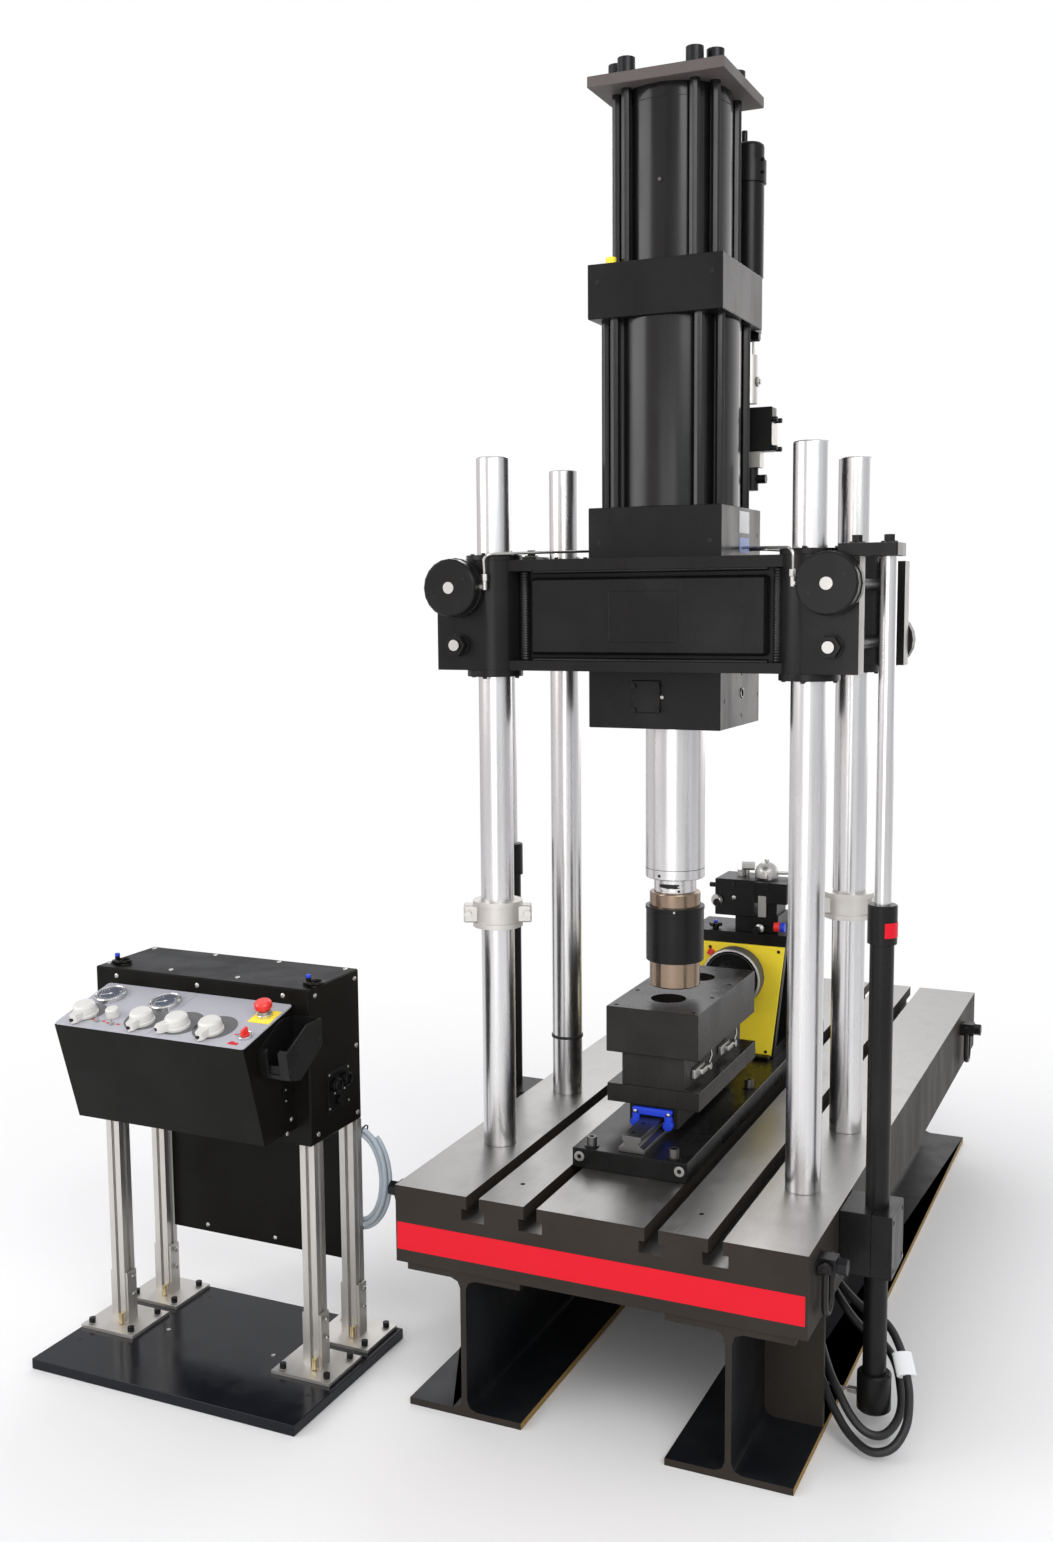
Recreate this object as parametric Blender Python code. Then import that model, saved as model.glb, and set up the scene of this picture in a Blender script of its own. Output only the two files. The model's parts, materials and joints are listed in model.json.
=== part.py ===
"""Four-column servo-hydraulic test frame with a shear fixture on its table and its operator console.

Metres, +Z up. The origin is on the floor under the actuator axis, x runs across the table and y runs back
along its T-slots. Each piece of the machine is one closed solid in its own object.
"""

import math

import bmesh
import bpy
from mathutils import Matrix, Vector

# Clearances
GAP = 0.0003
BITE = 0.001
RUNNING_GAP = 0.0006

# How far edges are broken
EDGE_FINE = 0.001
EDGE_SMALL = 0.0015
EDGE = 0.002
EDGE_ROUND = 0.003
EDGE_WIDE = 0.004
SMOOTH_BELOW = math.radians(28.0)

# Facets round a circle
FINE_SIDES = 28
SIDES = 20
SMALL_SIDES = 12
TINY_SIDES = 6
BOW_SIDES = 6
FILLET_STEPS = 2

# Table and its I-beams
BEAM_HEIGHT = 0.3278
BEAM_FLANGE_WIDTH = 0.2703
BEAM_FLANGE_THICKNESS = 0.016
BEAM_WEB_THICKNESS = 0.014
BEAM_ROOT_RADIUS = 0.022
BEAM_FROM_TABLE_SIDE = 0.1604
BEAM_INSET = 0.004
STIFFENER_OFFSET = 0.277
STIFFENER_THICKNESS = 0.014
STIFFENER_INSET = 0.001
TABLE_WIDTH = 0.914
TABLE_THICKNESS = 0.1726
TABLE_FRONT = -0.532
TABLE_LENGTH = 2.1484
SLOT_PITCH = 0.1345
SLOT_NECK = 0.030
SLOT_NECK_DEPTH = 0.029
SLOT_FOOT = 0.054
SLOT_DEPTH = 0.054
TAPPED_HOLE_RADIUS = 0.006
TAPPED_HOLE_DEPTH = 0.020
TAPPED_HOLE_X = 0.203
TAPPED_HOLE_FROM_FRONT = 0.114

# Columns and their stop collars
COLUMN_RADIUS = 0.0381
COLUMN_FROM_TABLE_SIDE = 0.0962
COLUMN_Y = 0.2022
COLUMN_CHAMFER = 0.003
COLUMN_OVERHANG = 0.2285
COLLAR_RADIUS = 0.058
COLLAR_BAND_RADIUS = 0.0525
COLLAR_HEIGHT = 0.061
COLLAR_RIM = 0.011
COLLAR_ABOVE_TABLE = 0.5173
COLLAR_EAR_REACH = 0.078
COLLAR_EAR_HALF = 0.021
COLLAR_EAR_HEIGHT = 0.040
COLLAR_TURN = math.radians(24.0)
COLLAR_SPLIT = 0.003
COLLAR_BOLT_RADIUS = 0.008

# Hoist rings on the table sides
HOIST_FROM_FRONT = 0.082
HOIST_FROM_REAR = 0.267
HOIST_BELOW_TOP = 0.046
HOIST_SPIGOT = 0.006
HOIST_BODY_HALF = 0.018
HOIST_BODY_LENGTH = 0.038
HOIST_HEAD_FLATS = 0.030
HOIST_HEAD_LENGTH = 0.020
TRUNNION_RADIUS = 0.008
TRUNNION_LENGTH = 0.014
BOW_BAR_RADIUS = 0.0075
BOW_HALF_WIDTH = 0.0265
BOW_DROP = 0.072
BOW_EYE_RADIUS = 0.0135
BOW_EYE_WIDTH = 0.010

# Crosshead
CROSSHEAD_DAYLIGHT = 1.1073
CROSSHEAD_HEIGHT = 0.2445
CORE_INSIDE_COLUMN = 0.0158
CROSSHEAD_CORE_Y = 0.185
FLANGE_OUTSIDE_COLUMN = 0.0112
FLANGE_Y = 0.235
TOP_FLANGE = 0.025
BOTTOM_FLANGE = 0.022
FLANGE_CORNER = 0.030
BOSS_RADIUS = 0.0605
WIPER_RADIUS = 0.0635
WIPER_UNDER = 0.014
WIPER_OVER = 0.0115
COLUMN_BORE_GAP = 0.0008
EAR_REACH = 0.1142
EAR_HEIGHT = 0.2375
EAR_SLIT = 0.021
COVER_INSIDE_COLUMN = 0.0908
COVER_HEIGHT = 0.170
COVER_FROM_BOTTOM = 0.035
COVER_DEPTH = 0.0242
COVER_CORNER = 0.006
BADGE_WIDTH = 0.158
BADGE_HEIGHT = 0.110
BADGE_CENTRE_X = -0.003
BADGE_ABOVE_BOTTOM = 0.118
BADGE_THICKNESS = 0.002

# Clamp studs through the column ears
STUD_RADIUS = 0.0135
STUD_OUTSIDE_COLUMN = 0.0592
UPPER_STUD_HEIGHT = 0.184
LOWER_STUD_HEIGHT = 0.057
CAP_RADIUS = 0.066
CAP_FACE_RADIUS = 0.060
CAP_THICKNESS = 0.050
CAP_STEP = 0.020
CAP_EDGE = 0.004
STUD_PROUD = 0.0017
NUT_FLATS = 0.042
NUT_THICKNESS = 0.022
NUT_STUD_PROUD = 0.005
WASHER_RADIUS = 0.026
WASHER_THICKNESS = 0.003

# Crosshead lift cylinders, one at the front right and one at the rear left
LIFT_OUT = 0.0665
LIFT_Y = -0.217
LIFT_ROD_RADIUS = 0.017
LIFT_TUBE_RADIUS = 0.025
LIFT_GLAND_RADIUS = 0.0305
LIFT_CAP_RADIUS = 0.03625
LIFT_CAP_BOTTOM = 0.045
LIFT_CAP_HEIGHT = 0.085
LIFT_TUBE_TOP = 0.5563
LIFT_GLAND_HEIGHT = 0.081
LIFT_BORE_BOTTOM = 0.150
LIFT_ROD_BOTTOM = 0.400
LIFT_EDGE = 0.004
BRACKET_OUT = 0.110
BRACKET_HALF = 0.061
BRACKET_HEIGHT = 0.135
BRACKET_BELOW_TOP = 0.0037
BRACKET_SPLIT = 0.0016
BRACKET_SPLIT_DEPTH = 0.003
BRACKET_BOLT_RADIUS = 0.006
BRACKET_BOLT_DEPTH = 0.006
BRACKET_BOLT_INSET = 0.016
LIFT_PLATE_THICKNESS = 0.026
LIFT_PLATE_INNER = 0.0947
LIFT_PLATE_OUTER = 0.0253
LIFT_PLATE_HALF = 0.045
LIFT_PLATE_BOLT_BACK = 0.0645
LIFT_BOLT_FLATS = 0.019
LIFT_BOLT_HEIGHT = 0.013
LIFT_WASHER_RADIUS = 0.017
LIFT_WASHER_THICKNESS = 0.004

# Actuator on the crosshead
BLOCK_HALF_X = 0.1535
BLOCK_HALF_Y = 0.150
BLOCK_EDGE = 0.0015
NOSE_HEIGHT = 0.1294
BASE_HEIGHT = 0.1122
LOWER_BARREL_LENGTH = 0.4057
MIDDLE_HEIGHT = 0.1167
UPPER_BARREL_LENGTH = 0.3679
TOP_PLATE_THICKNESS = 0.024
LOWER_BARREL_RADIUS = 0.144
LOWER_BARREL_WALL = 0.026
UPPER_BARREL_RADIUS = 0.122
UPPER_BARREL_WALL = 0.020
TIE_ROD_RADIUS = 0.012
TIE_ROD_SIDES = 8
LOWER_TIE_NEAR = 0.096
LOWER_TIE_FAR = 0.130
UPPER_TIE_NEAR = 0.077
UPPER_TIE_FAR = 0.1115
TIE_NUT_RADIUS = 0.0195
TIE_NUT_HEIGHT = 0.038
NOSE_COVER_HALF_WIDTH = 0.033
NOSE_COVER_CENTRE_X = -0.016
NOSE_COVER_HALF_HEIGHT = 0.0355
NOSE_COVER_BELOW_TOP = 0.0575
NOSE_COVER_THICKNESS = 0.006
NOSE_PORT_RADIUS = 0.044
NOSE_PORT_THICKNESS = 0.009
NOSE_PLUG_RADIUS = 0.011
NOSE_PLUG_DEPTH = 0.003

# Piston and load cell
ROD_RADIUS = 0.0683
PISTON_HEAD_THICKNESS = 0.080
PISTON_HEAD_UP = 0.135
NECK_RADIUS = 0.049
NECK_LENGTH = 0.033
NECK_SLOT_HEIGHT = 0.010
NECK_SLOT_DEPTH = 0.014
CELL_RADIUS = 0.059
CELL_TOP_BAND = 0.033
CELL_BOTTOM_BAND = 0.060
CELL_WAIST_RADIUS = 0.052
SLEEVE_RADIUS = 0.0674
SLEEVE_LENGTH = 0.129
SLEEVE_RIM = 0.008
SLEEVE_RIM_DROP = 0.0015
CELL_EDGE = 0.002
CELL_CLEARANCE = 0.0315

# Hydraulics behind the actuator
MANIFOLD_LEFT = -0.075
MANIFOLD_RIGHT = 0.100
MANIFOLD_DEPTH = 0.052
MANIFOLD_DROP = 0.350
MANIFOLD_UNDER_TOP = 0.007
SERVO_REACH = 0.077
SERVO_BOTTOM_UP = 0.080
SERVO_HEIGHT = 0.100
SERVO_INSET = 0.006
SERVO_REST_DROP = 0.035
SERVO_REST_LEFT = 0.018
SERVO_REST_RIGHT = 0.048
SERVO_PLUG_RADIUS = 0.016
SERVO_PLUG_DROP = 0.088
SERVO_PLUG_CENTRE = 0.024
SERVO_ELBOW_UP = 0.026
SERVO_ELBOW_RADIUS = 0.0105
SERVO_ELBOW_REACH = 0.059
VALVE_RADIUS = 0.017
VALVE_HEIGHT = 0.110
VALVE_LOW = 0.190
ACCUMULATOR_RADIUS = 0.035
ACCUMULATOR_HEIGHT = 0.322
ACCUMULATOR_NECK_RADIUS = 0.014
ACCUMULATOR_NECK_HEIGHT = 0.014
ACCUMULATOR_SHOULDER = 0.008
ACCUMULATOR_FILLET = 0.010
ACCUMULATOR_X = 0.102
ACCUMULATOR_BACK = 0.062
CLAMP_BAND_RADIUS = 0.039
CLAMP_BAND_HEIGHT = 0.050
CLAMP_BAND_BELOW_TOP = 0.040

# Shear fixture on the table
FIXTURE_X = -0.009
BASE_PLATE_HALF = 0.1347
BASE_PLATE_FRONT = -0.281
BASE_PLATE_LENGTH = 1.24
BASE_PLATE_THICKNESS = 0.045
BASE_BOLT_RADIUS = 0.0115
BASE_BOLT_HEIGHT = 0.020
BASE_BOLT_SOCKET = 0.006
BASE_WASHER_RADIUS = 0.017
BASE_WASHER_THICKNESS = 0.003
BASE_BOLT_X = 0.097
BASE_BOLT_FROM_FRONT = 0.0237
BASE_REAR_BOLT_X = 0.111
BASE_REAR_BOLT_FROM_FRONT = 0.555
RAIL_TOP_HALF = 0.0225
RAIL_FOOT_HALF = 0.031
RAIL_WAIST_HALF = 0.0175
RAIL_HEIGHT = 0.038
RAIL_FOOT_HEIGHT = 0.016
RAIL_WAIST_HEIGHT = 0.022
RAIL_HEAD_HEIGHT = 0.029
RAIL_FROM_FRONT = 0.0155
RAIL_LENGTH = 0.765
CARRIAGE_HALF = 0.058
CARRIAGE_LIFT = 0.0143
CARRIAGE_HEIGHT = 0.0493
CARRIAGE_FRONT = -0.120
CARRIAGE_LENGTH = 0.430
SHEAR_PLATE_HALF = 0.111
SHEAR_PLATE_FRONT = -0.1276
SHEAR_PLATE_LENGTH = 0.4562
SHEAR_PLATE_THICKNESS = 0.0432
SHEAR_NECK_HALF = 0.075
SHEAR_NECK_FRONT = -0.125
SHEAR_NECK_LENGTH = 0.438
SHEAR_NECK_HEIGHT = 0.0764
SHEAR_HEAD_HALF = 0.1107
SHEAR_HEAD_FRONT = -0.1352
SHEAR_HEAD_LENGTH = 0.4532
SHEAR_HEAD_HEIGHT = 0.1068
SPECIMEN_BORE_RADIUS = 0.0415
SPECIMEN_BORE_DEPTH = 0.090
SPECIMEN_BORES_Y = (-0.018, 0.203)
SHEAR_HOLE_RADIUS = 0.006
SHEAR_HOLE_DEPTH = 0.014
SHEAR_HOLE_X = 0.093
SHEAR_HOLES_Y = (-0.115, 0.025, 0.160, 0.300)
THRUST_HEIGHT = 0.2667
THRUST_ROD_RADIUS = 0.045
LOAD_RING_RADIUS = 0.0785
LOAD_RING_FRONT = 0.475
LOAD_RING_THICKNESS = 0.050
LOAD_RING_RIM = 0.012
LOAD_RING_RECESS = 0.006
TAIL_ROD_RADIUS = 0.030
TAIL_ROD_LENGTH = 0.330
GUARD_STANDOFF = 0.006
GUARD_THICKNESS = 0.006
GUARD_TOP_HALF = 0.130
GUARD_BOTTOM_HALF = 0.095
GUARD_HEIGHT = 0.298
GUARD_LIFT = 0.006
GUARD_HOLE_RADIUS = 0.050
BRACKET_TOP_HALF = 0.134
BRACKET_FOOT_HALF = 0.100
BRACKET_TOP_HEIGHT = 0.334
BRACKET_WALL = 0.022
BRACKET_DEPTH = 0.170
BRACKET_TOP_THICKNESS = 0.032
BRACKET_FLANGE_DEPTH = 0.055
BRACKET_FLANGE_HEIGHT = 0.025
RAM_FLANGE_HALF = 0.078
RAM_FLANGE_DEPTH = 0.040
RAM_RADIUS = 0.062
RAM_BARREL_LENGTH = 0.180
RAM_CAP_DEPTH = 0.050
RAM_TIE_RADIUS = 0.007
RAM_TIE_OFFSET = 0.062
RAM_BORE_LENGTH = 0.250
VALVE_BLOCK_HEIGHT = 0.042
VALVE_BODY_LEFT = -0.066
VALVE_BODY_RIGHT = 0.042
VALVE_BODY_HEIGHT = 0.098
VALVE_PLATE_RIGHT = 0.129
VALVE_PLATE_THICKNESS = 0.060
VALVE_FRONT = 0.545
VALVE_BODY_DEPTH = 0.120
VALVE_FOOT_LEFT = 0.012
VALVE_FOOT_RIGHT = 0.105
VALVE_LINK_WIDTH = 0.036
VALVE_STEP = 0.005
VALVE_KNOB_RADIUS = 0.010
VALVE_KNOB_LENGTH = 0.018
VALVE_KNOB_UP = 0.036

# Operator console
CONSOLE_X = -0.9575
CONSOLE_BASE_HALF = 0.3595
CONSOLE_BASE_CENTRE = -0.9515
CONSOLE_BASE_FRONT = -0.746
CONSOLE_BASE_DEPTH = 0.474
CONSOLE_BASE_THICKNESS = 0.0254
CONSOLE_BASE_EDGE = 0.0012
PROFILE_HALF = 0.01905
PROFILE_LIP = 0.0022
PROFILE_MOUTH = 0.0041
PROFILE_CAVITY = 0.0080
PROFILE_SLOT_DEPTH = 0.0095
PROFILE_SLOT_FLOOR = 0.0045
LEG_X = 0.274
LEG_FRONT_Y = -0.511
LEG_REAR_Y = -0.345
FOOT_PLATE_THICKNESS = 0.008
FOOT_PLATE_OUT = 0.077
FOOT_PLATE_IN = 0.078
FOOT_PLATE_HALF_DEPTH = 0.069
FOOT_BOLT_X = 0.058
FOOT_BOLT_Y = 0.050
FOOT_BOLT_RADIUS = 0.0085
FOOT_BOLT_HEIGHT = 0.012
TAB_THICKNESS = 0.006
TAB_HEIGHT = 0.125
TAB_HALF = 0.0165
CABINET_HALF = 0.2945
CABINET_FRONT = -0.542
CABINET_REAR = -0.326
CABINET_BOTTOM = 0.557
CABINET_TOP = 0.915
CABINET_EDGE = 0.003
HOUSING_HALF = 0.2543
HOUSING_TOE_Y = -0.6635
HOUSING_TOE_Z = 0.595
PANEL_BACK_Z = 0.879
PANEL_DEPTH = 0.196
PANEL_TILT = math.radians(14.25)
PANEL_THICKNESS = 0.003
PANEL_CORNER = 0.006
PANEL_SET_BACK = 0.0012
REAR_PANEL_HALF = 0.2515
REAR_PANEL_BOTTOM = 0.207
REAR_PANEL_THICKNESS = 0.003
REAR_PANEL_IN = 0.009
KNOBS = (("flow_knob", -0.2055, 0.145, 0.0), ("pressure_knob", -0.0475, 0.145, 0.0),
         ("speed_knob", 0.0485, 0.145, -35.0), ("direction_knob", 0.1375, 0.145, 0.0))
KNOB_HUB_RADIUS = 0.027
KNOB_HEIGHT = 0.030
KNOB_SKIRT_RADIUS = 0.029
KNOB_SKIRT_HEIGHT = 0.006
KNOB_BEAK_REACH = 0.050
KNOB_BEAK_HALF = 0.009
KNOB_BEAK_HEIGHT = 0.020
KNOB_BEAK_DROP = 0.002
KNOB_GRIP_HALF = 0.017
KNOB_EYE_RADIUS = 0.0035
KNOB_EYE_DEPTH = 0.006
TRIM_KNOB = (-0.1325, 0.140)
TRIM_KNOB_RADIUS = 0.0155
TRIM_KNOB_HEIGHT = 0.022
TRIM_KNOB_RIM = 0.003
GAUGES = ((-0.2025, 0.060), (-0.0455, 0.063))
GAUGE_RADIUS = 0.033
GAUGE_HEIGHT = 0.009
GAUGE_RIM = 0.004
GAUGE_RECESS = 0.002
TOGGLES = ((-0.1555, 0.168), (-0.1115, 0.172))
TOGGLE_RADIUS = 0.0055
TOGGLE_HEIGHT = 0.006
TOGGLE_STEM_RADIUS = 0.002
TOGGLE_STEM_HEIGHT = 0.014
STOP_BUTTON = (0.2225, 0.062)
STOP_COLLAR_RADIUS = 0.0145
STOP_COLLAR_HEIGHT = 0.016
STOP_STEM_RADIUS = 0.010
STOP_HEAD_RADIUS = 0.020
STOP_HEAD_HEIGHT = 0.016
STOP_TRAVEL = 0.005
STOP_HEAD_CLEARANCE = 0.0065
SELECTOR = (0.2295, 0.150)
SELECTOR_RING_RADIUS = 0.0145
SELECTOR_RING_HEIGHT = 0.005
SELECTOR_RADIUS = 0.010
SELECTOR_HEIGHT = 0.020
SELECTOR_GRIP_HALF = 0.0035
CRADLE_REACH = 0.075
CRADLE_WALL = 0.0045
CRADLE_FLOOR = 0.010
CRADLE_NOTCH_HALF = 0.014
CRADLE_BACK_TOP = 0.857
CRADLE_BACK_BOTTOM = 0.795
CRADLE_KNEE_Y = -0.600
CRADLE_TIP_Y = -0.683
CRADLE_TIP_Z = 0.812
CRADLE_TOE_Y = -0.672
CRADLE_TOE_Z = 0.752
CRADLE_HEEL_Y = -0.630
CRADLE_HEEL_Z = 0.742
EYE_INSET_X = 0.027
EYE_INSET_Y = 0.046
EYE_BASE_RADIUS = 0.013
EYE_BASE_HEIGHT = 0.006
EYE_STEM_RADIUS = 0.006
EYE_STEM_HEIGHT = 0.018
EYE_RING_RADIUS = 0.017
EYE_RING_BAR = 0.0042
EYE_RING_OFFSET = 0.018

# Console cable, hanging coiled behind the right rear leg
COIL_CENTRE_X = -0.682
COIL_CENTRE_Z = 0.405
COIL_HALF_WIDTH = 0.072
COIL_HALF_HEIGHT = 0.116
COIL_BAND_RADIUS = 0.0185
COIL_BAND_DEPTH = 0.016
COIL_SIDES = 8

# Hydraulic hoses that hang in a loop beside the right lift cylinder; x counts from the right beam's web
HOSE_RADIUS = 0.009
OUTER_HOSE_ROUTE = (
    (0.0004, 0.020, 0.266), (0.0224, 0.020, 0.266), (0.0434, 0.010, 0.267), (0.0644, -0.014, 0.270),
    (0.0884, -0.056, 0.270), (0.1164, -0.096, 0.254), (0.1754, -0.120, 0.217), (0.2314, -0.140, 0.200),
    (0.2684, -0.178, 0.166), (0.2894, -0.218, 0.128), (0.3004, -0.252, 0.099), (0.3034, -0.298, 0.068),
    (0.2884, -0.334, 0.041), (0.2614, -0.347, 0.026), (0.2284, -0.340, 0.022), (0.1864, -0.312, 0.034),
    (0.1494, -0.278, 0.060), (0.1204, -0.244, 0.086), (0.0904, -0.190, 0.112), (0.0644, -0.128, 0.130),
    (0.0434, -0.084, 0.135), (0.0224, -0.070, 0.136), (0.0004, -0.070, 0.136))
INNER_HOSE_ROUTE = (
    (0.0004, 0.060, 0.232), (0.0224, 0.060, 0.232), (0.0464, 0.034, 0.236), (0.0764, -0.030, 0.238),
    (0.1144, -0.090, 0.218), (0.1664, -0.112, 0.172), (0.2224, -0.126, 0.146), (0.2524, -0.148, 0.118),
    (0.2684, -0.178, 0.084), (0.2764, -0.212, 0.056), (0.2704, -0.248, 0.036), (0.2504, -0.282, 0.026),
    (0.2204, -0.296, 0.034), (0.1864, -0.284, 0.056), (0.1544, -0.256, 0.086), (0.1224, -0.214, 0.112),
    (0.0904, -0.154, 0.138), (0.0584, -0.088, 0.164), (0.0404, -0.044, 0.170), (0.0224, -0.030, 0.172),
    (0.0004, -0.030, 0.172))
HOSE_POINTS = 27

# Levels and faces that follow from the sizes above
TABLE_BOTTOM = BEAM_HEIGHT + GAP
TABLE_TOP = TABLE_BOTTOM + TABLE_THICKNESS
TABLE_REAR = TABLE_FRONT + TABLE_LENGTH
TABLE_HALF = TABLE_WIDTH / 2
BEAM_OFFSET = TABLE_HALF - BEAM_FROM_TABLE_SIDE
BEAM_OUTER_FACE = BEAM_OFFSET + BEAM_WEB_THICKNESS / 2
COLUMN_X = TABLE_HALF - COLUMN_FROM_TABLE_SIDE
CROSSHEAD_CORE_X = COLUMN_X - CORE_INSIDE_COLUMN
FLANGE_X = COLUMN_X + FLANGE_OUTSIDE_COLUMN
STUD_X = COLUMN_X + STUD_OUTSIDE_COLUMN
COVER_HALF_WIDTH = COLUMN_X - COVER_INSIDE_COLUMN
CROSSHEAD_BOTTOM = TABLE_TOP + CROSSHEAD_DAYLIGHT
CROSSHEAD_TOP = CROSSHEAD_BOTTOM + CROSSHEAD_HEIGHT
COLUMN_TOP = CROSSHEAD_TOP + COLUMN_OVERHANG
EAR_TOP = CROSSHEAD_BOTTOM + EAR_HEIGHT
EAR_FACE = COLUMN_Y + BOSS_RADIUS
NOSE_BOTTOM = CROSSHEAD_BOTTOM - GAP - NOSE_HEIGHT
BASE_BLOCK_TOP = CROSSHEAD_TOP + GAP + BASE_HEIGHT
LOWER_BARREL_TOP = BASE_BLOCK_TOP + GAP + LOWER_BARREL_LENGTH
MIDDLE_TOP = LOWER_BARREL_TOP + GAP + MIDDLE_HEIGHT
UPPER_BARREL_TOP = MIDDLE_TOP + GAP + UPPER_BARREL_LENGTH
TOP_PLATE_TOP = UPPER_BARREL_TOP + GAP + TOP_PLATE_THICKNESS
LIFT_X = TABLE_HALF + LIFT_OUT
BASE_PLATE_TOP = TABLE_TOP + GAP + BASE_PLATE_THICKNESS
SHEAR_PLATE_BOTTOM = BASE_PLATE_TOP + CARRIAGE_LIFT + CARRIAGE_HEIGHT
SHEAR_PLATE_TOP = SHEAR_PLATE_BOTTOM + SHEAR_PLATE_THICKNESS
SHEAR_NECK_TOP = SHEAR_PLATE_TOP + GAP + SHEAR_NECK_HEIGHT
SHEAR_HEAD_TOP = SHEAR_NECK_TOP + SHEAR_HEAD_HEIGHT
SHEAR_HEAD_REAR = SHEAR_HEAD_FRONT + SHEAR_HEAD_LENGTH
THRUST_Z = TABLE_TOP + THRUST_HEIGHT
LOAD_RING_REAR = LOAD_RING_FRONT + LOAD_RING_THICKNESS
GUARD_FRONT = LOAD_RING_REAR + GUARD_STANDOFF
BRACKET_FRONT = GUARD_FRONT + GUARD_THICKNESS + GAP
BRACKET_TOP = BASE_PLATE_TOP + BRACKET_TOP_HEIGHT
BRACKET_REAR = BRACKET_FRONT + BRACKET_DEPTH
CELL_BOTTOM = SHEAR_HEAD_TOP + CELL_CLEARANCE
SLEEVE_BOTTOM = CELL_BOTTOM + CELL_BOTTOM_BAND
SLEEVE_TOP = SLEEVE_BOTTOM + SLEEVE_LENGTH
NECK_BOTTOM = SLEEVE_TOP + CELL_TOP_BAND + GAP
ROD_BOTTOM = NECK_BOTTOM + NECK_LENGTH
CONSOLE_BASE_RIGHT = CONSOLE_BASE_CENTRE + CONSOLE_BASE_HALF
LEG_BOTTOM = CONSOLE_BASE_THICKNESS + GAP

AXES = {
    "X": Matrix.Rotation(math.radians(90.0), 4, "Y"),
    "Y": Matrix.Rotation(math.radians(-90.0), 4, "X"),
    "Z": Matrix.Identity(4),
}


def clear_objects():
    """Empty the scene before the machine is built."""
    for item in list(bpy.data.objects):
        bpy.data.objects.remove(item, do_unlink=True)


def paint(name, colour, roughness, metallic):
    """Make one Principled material."""
    material = bpy.data.materials.new(name)
    material.use_nodes = True
    shader = material.node_tree.nodes["Principled BSDF"]
    shader.inputs["Base Color"].default_value = (*colour, 1.0)
    shader.inputs["Roughness"].default_value = roughness
    shader.inputs["Metallic"].default_value = metallic
    material.diffuse_color = (*colour, 1.0)
    return material


def solid_from(mesh_editor):
    """Turn an edited mesh into an unnamed solid whose faces point out."""
    bmesh.ops.recalc_face_normals(mesh_editor, faces=mesh_editor.faces)
    mesh = bpy.data.meshes.new("shape")
    mesh_editor.to_mesh(mesh)
    mesh_editor.free()
    solid = bpy.data.objects.new("shape", mesh)
    bpy.context.scene.collection.objects.link(solid)
    return solid


def box(low, high, edge=0.0):
    """Make a box between two corners, with its edges broken when edge is given."""
    low, high = Vector(low), Vector(high)
    editor = bmesh.new()
    size = Matrix.Diagonal((*(high - low), 1.0))
    bmesh.ops.create_cube(editor, size=1.0, matrix=Matrix.Translation((low + high) / 2) @ size)
    if edge:
        bmesh.ops.bevel(editor, geom=editor.edges[:], offset=edge, segments=1, affect="EDGES", profile=0.5)
    return solid_from(editor)


def centred_box(centre, half, edge=0.0):
    """Make a box from its centre and half sizes."""
    centre, half = Vector(centre), Vector(half)
    return box(centre - half, centre + half, edge)


def turned(profile, foot=(0.0, 0.0, 0.0), axis="Z", sides=SIDES, hollow=False):
    """Turn (radius, height) points about an axis through foot; a hollow profile is a closed loop."""
    editor = bmesh.new()
    rings = []
    for radius, height in profile:
        ring = []
        for step in range(sides):
            angle = math.tau * step / sides
            ring.append(editor.verts.new((radius * math.cos(angle), radius * math.sin(angle), height)))
        rings.append(ring)
    pairs = list(zip(rings, rings[1:]))
    if hollow:
        pairs.append((rings[-1], rings[0]))
    else:
        editor.faces.new(rings[0])
        editor.faces.new(rings[-1])
    for lower, upper in pairs:
        for step in range(sides):
            after = (step + 1) % sides
            editor.faces.new((lower[step], lower[after], upper[after], upper[step]))
    bmesh.ops.transform(editor, matrix=Matrix.Translation(foot) @ AXES[axis], verts=editor.verts)
    return solid_from(editor)


def rod(foot, axis, start, end, radius, sides=SIDES):
    """Make a plain round bar along an axis through foot, between two heights on that axis."""
    return turned([(radius, start), (radius, end)], foot, axis, sides)


def prism(outline, axis, start, end):
    """Extrude an outline: (x, y) along Z, (x, z) along Y or (y, z) along X."""
    places = {
        "X": lambda u, v: (start, u, v),
        "Y": lambda u, v: (u, start, v),
        "Z": lambda u, v: (u, v, start),
    }
    shift = {"X": (end - start, 0, 0), "Y": (0, end - start, 0), "Z": (0, 0, end - start)}
    editor = bmesh.new()
    face = editor.faces.new([editor.verts.new(places[axis](u, v)) for u, v in outline])
    sweep = bmesh.ops.extrude_face_region(editor, geom=[face])
    moved = [item for item in sweep["geom"] if isinstance(item, bmesh.types.BMVert)]
    bmesh.ops.translate(editor, vec=shift[axis], verts=moved)
    return solid_from(editor)


def hexagon(foot, axis, start, end, across_flats):
    """Make a hexagonal bar such as a nut or a bolt head."""
    return rod(foot, axis, start, end, across_flats / math.sqrt(3), 6)


def arc(centre, radius, first, last, steps=FILLET_STEPS):
    """Points on an arc between two angles in degrees."""
    points = []
    for step in range(steps + 1):
        angle = math.radians(first + (last - first) * step / steps)
        points.append((centre[0] + radius * math.cos(angle), centre[1] + radius * math.sin(angle)))
    return points


def rounded_rectangle(left, right, low, high, radius):
    """Outline of a rectangle with four round corners."""
    return (arc((right - radius, low + radius), radius, -90, 0)
            + arc((right - radius, high - radius), radius, 0, 90)
            + arc((left + radius, high - radius), radius, 90, 180)
            + arc((left + radius, low + radius), radius, 180, 270))


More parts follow.
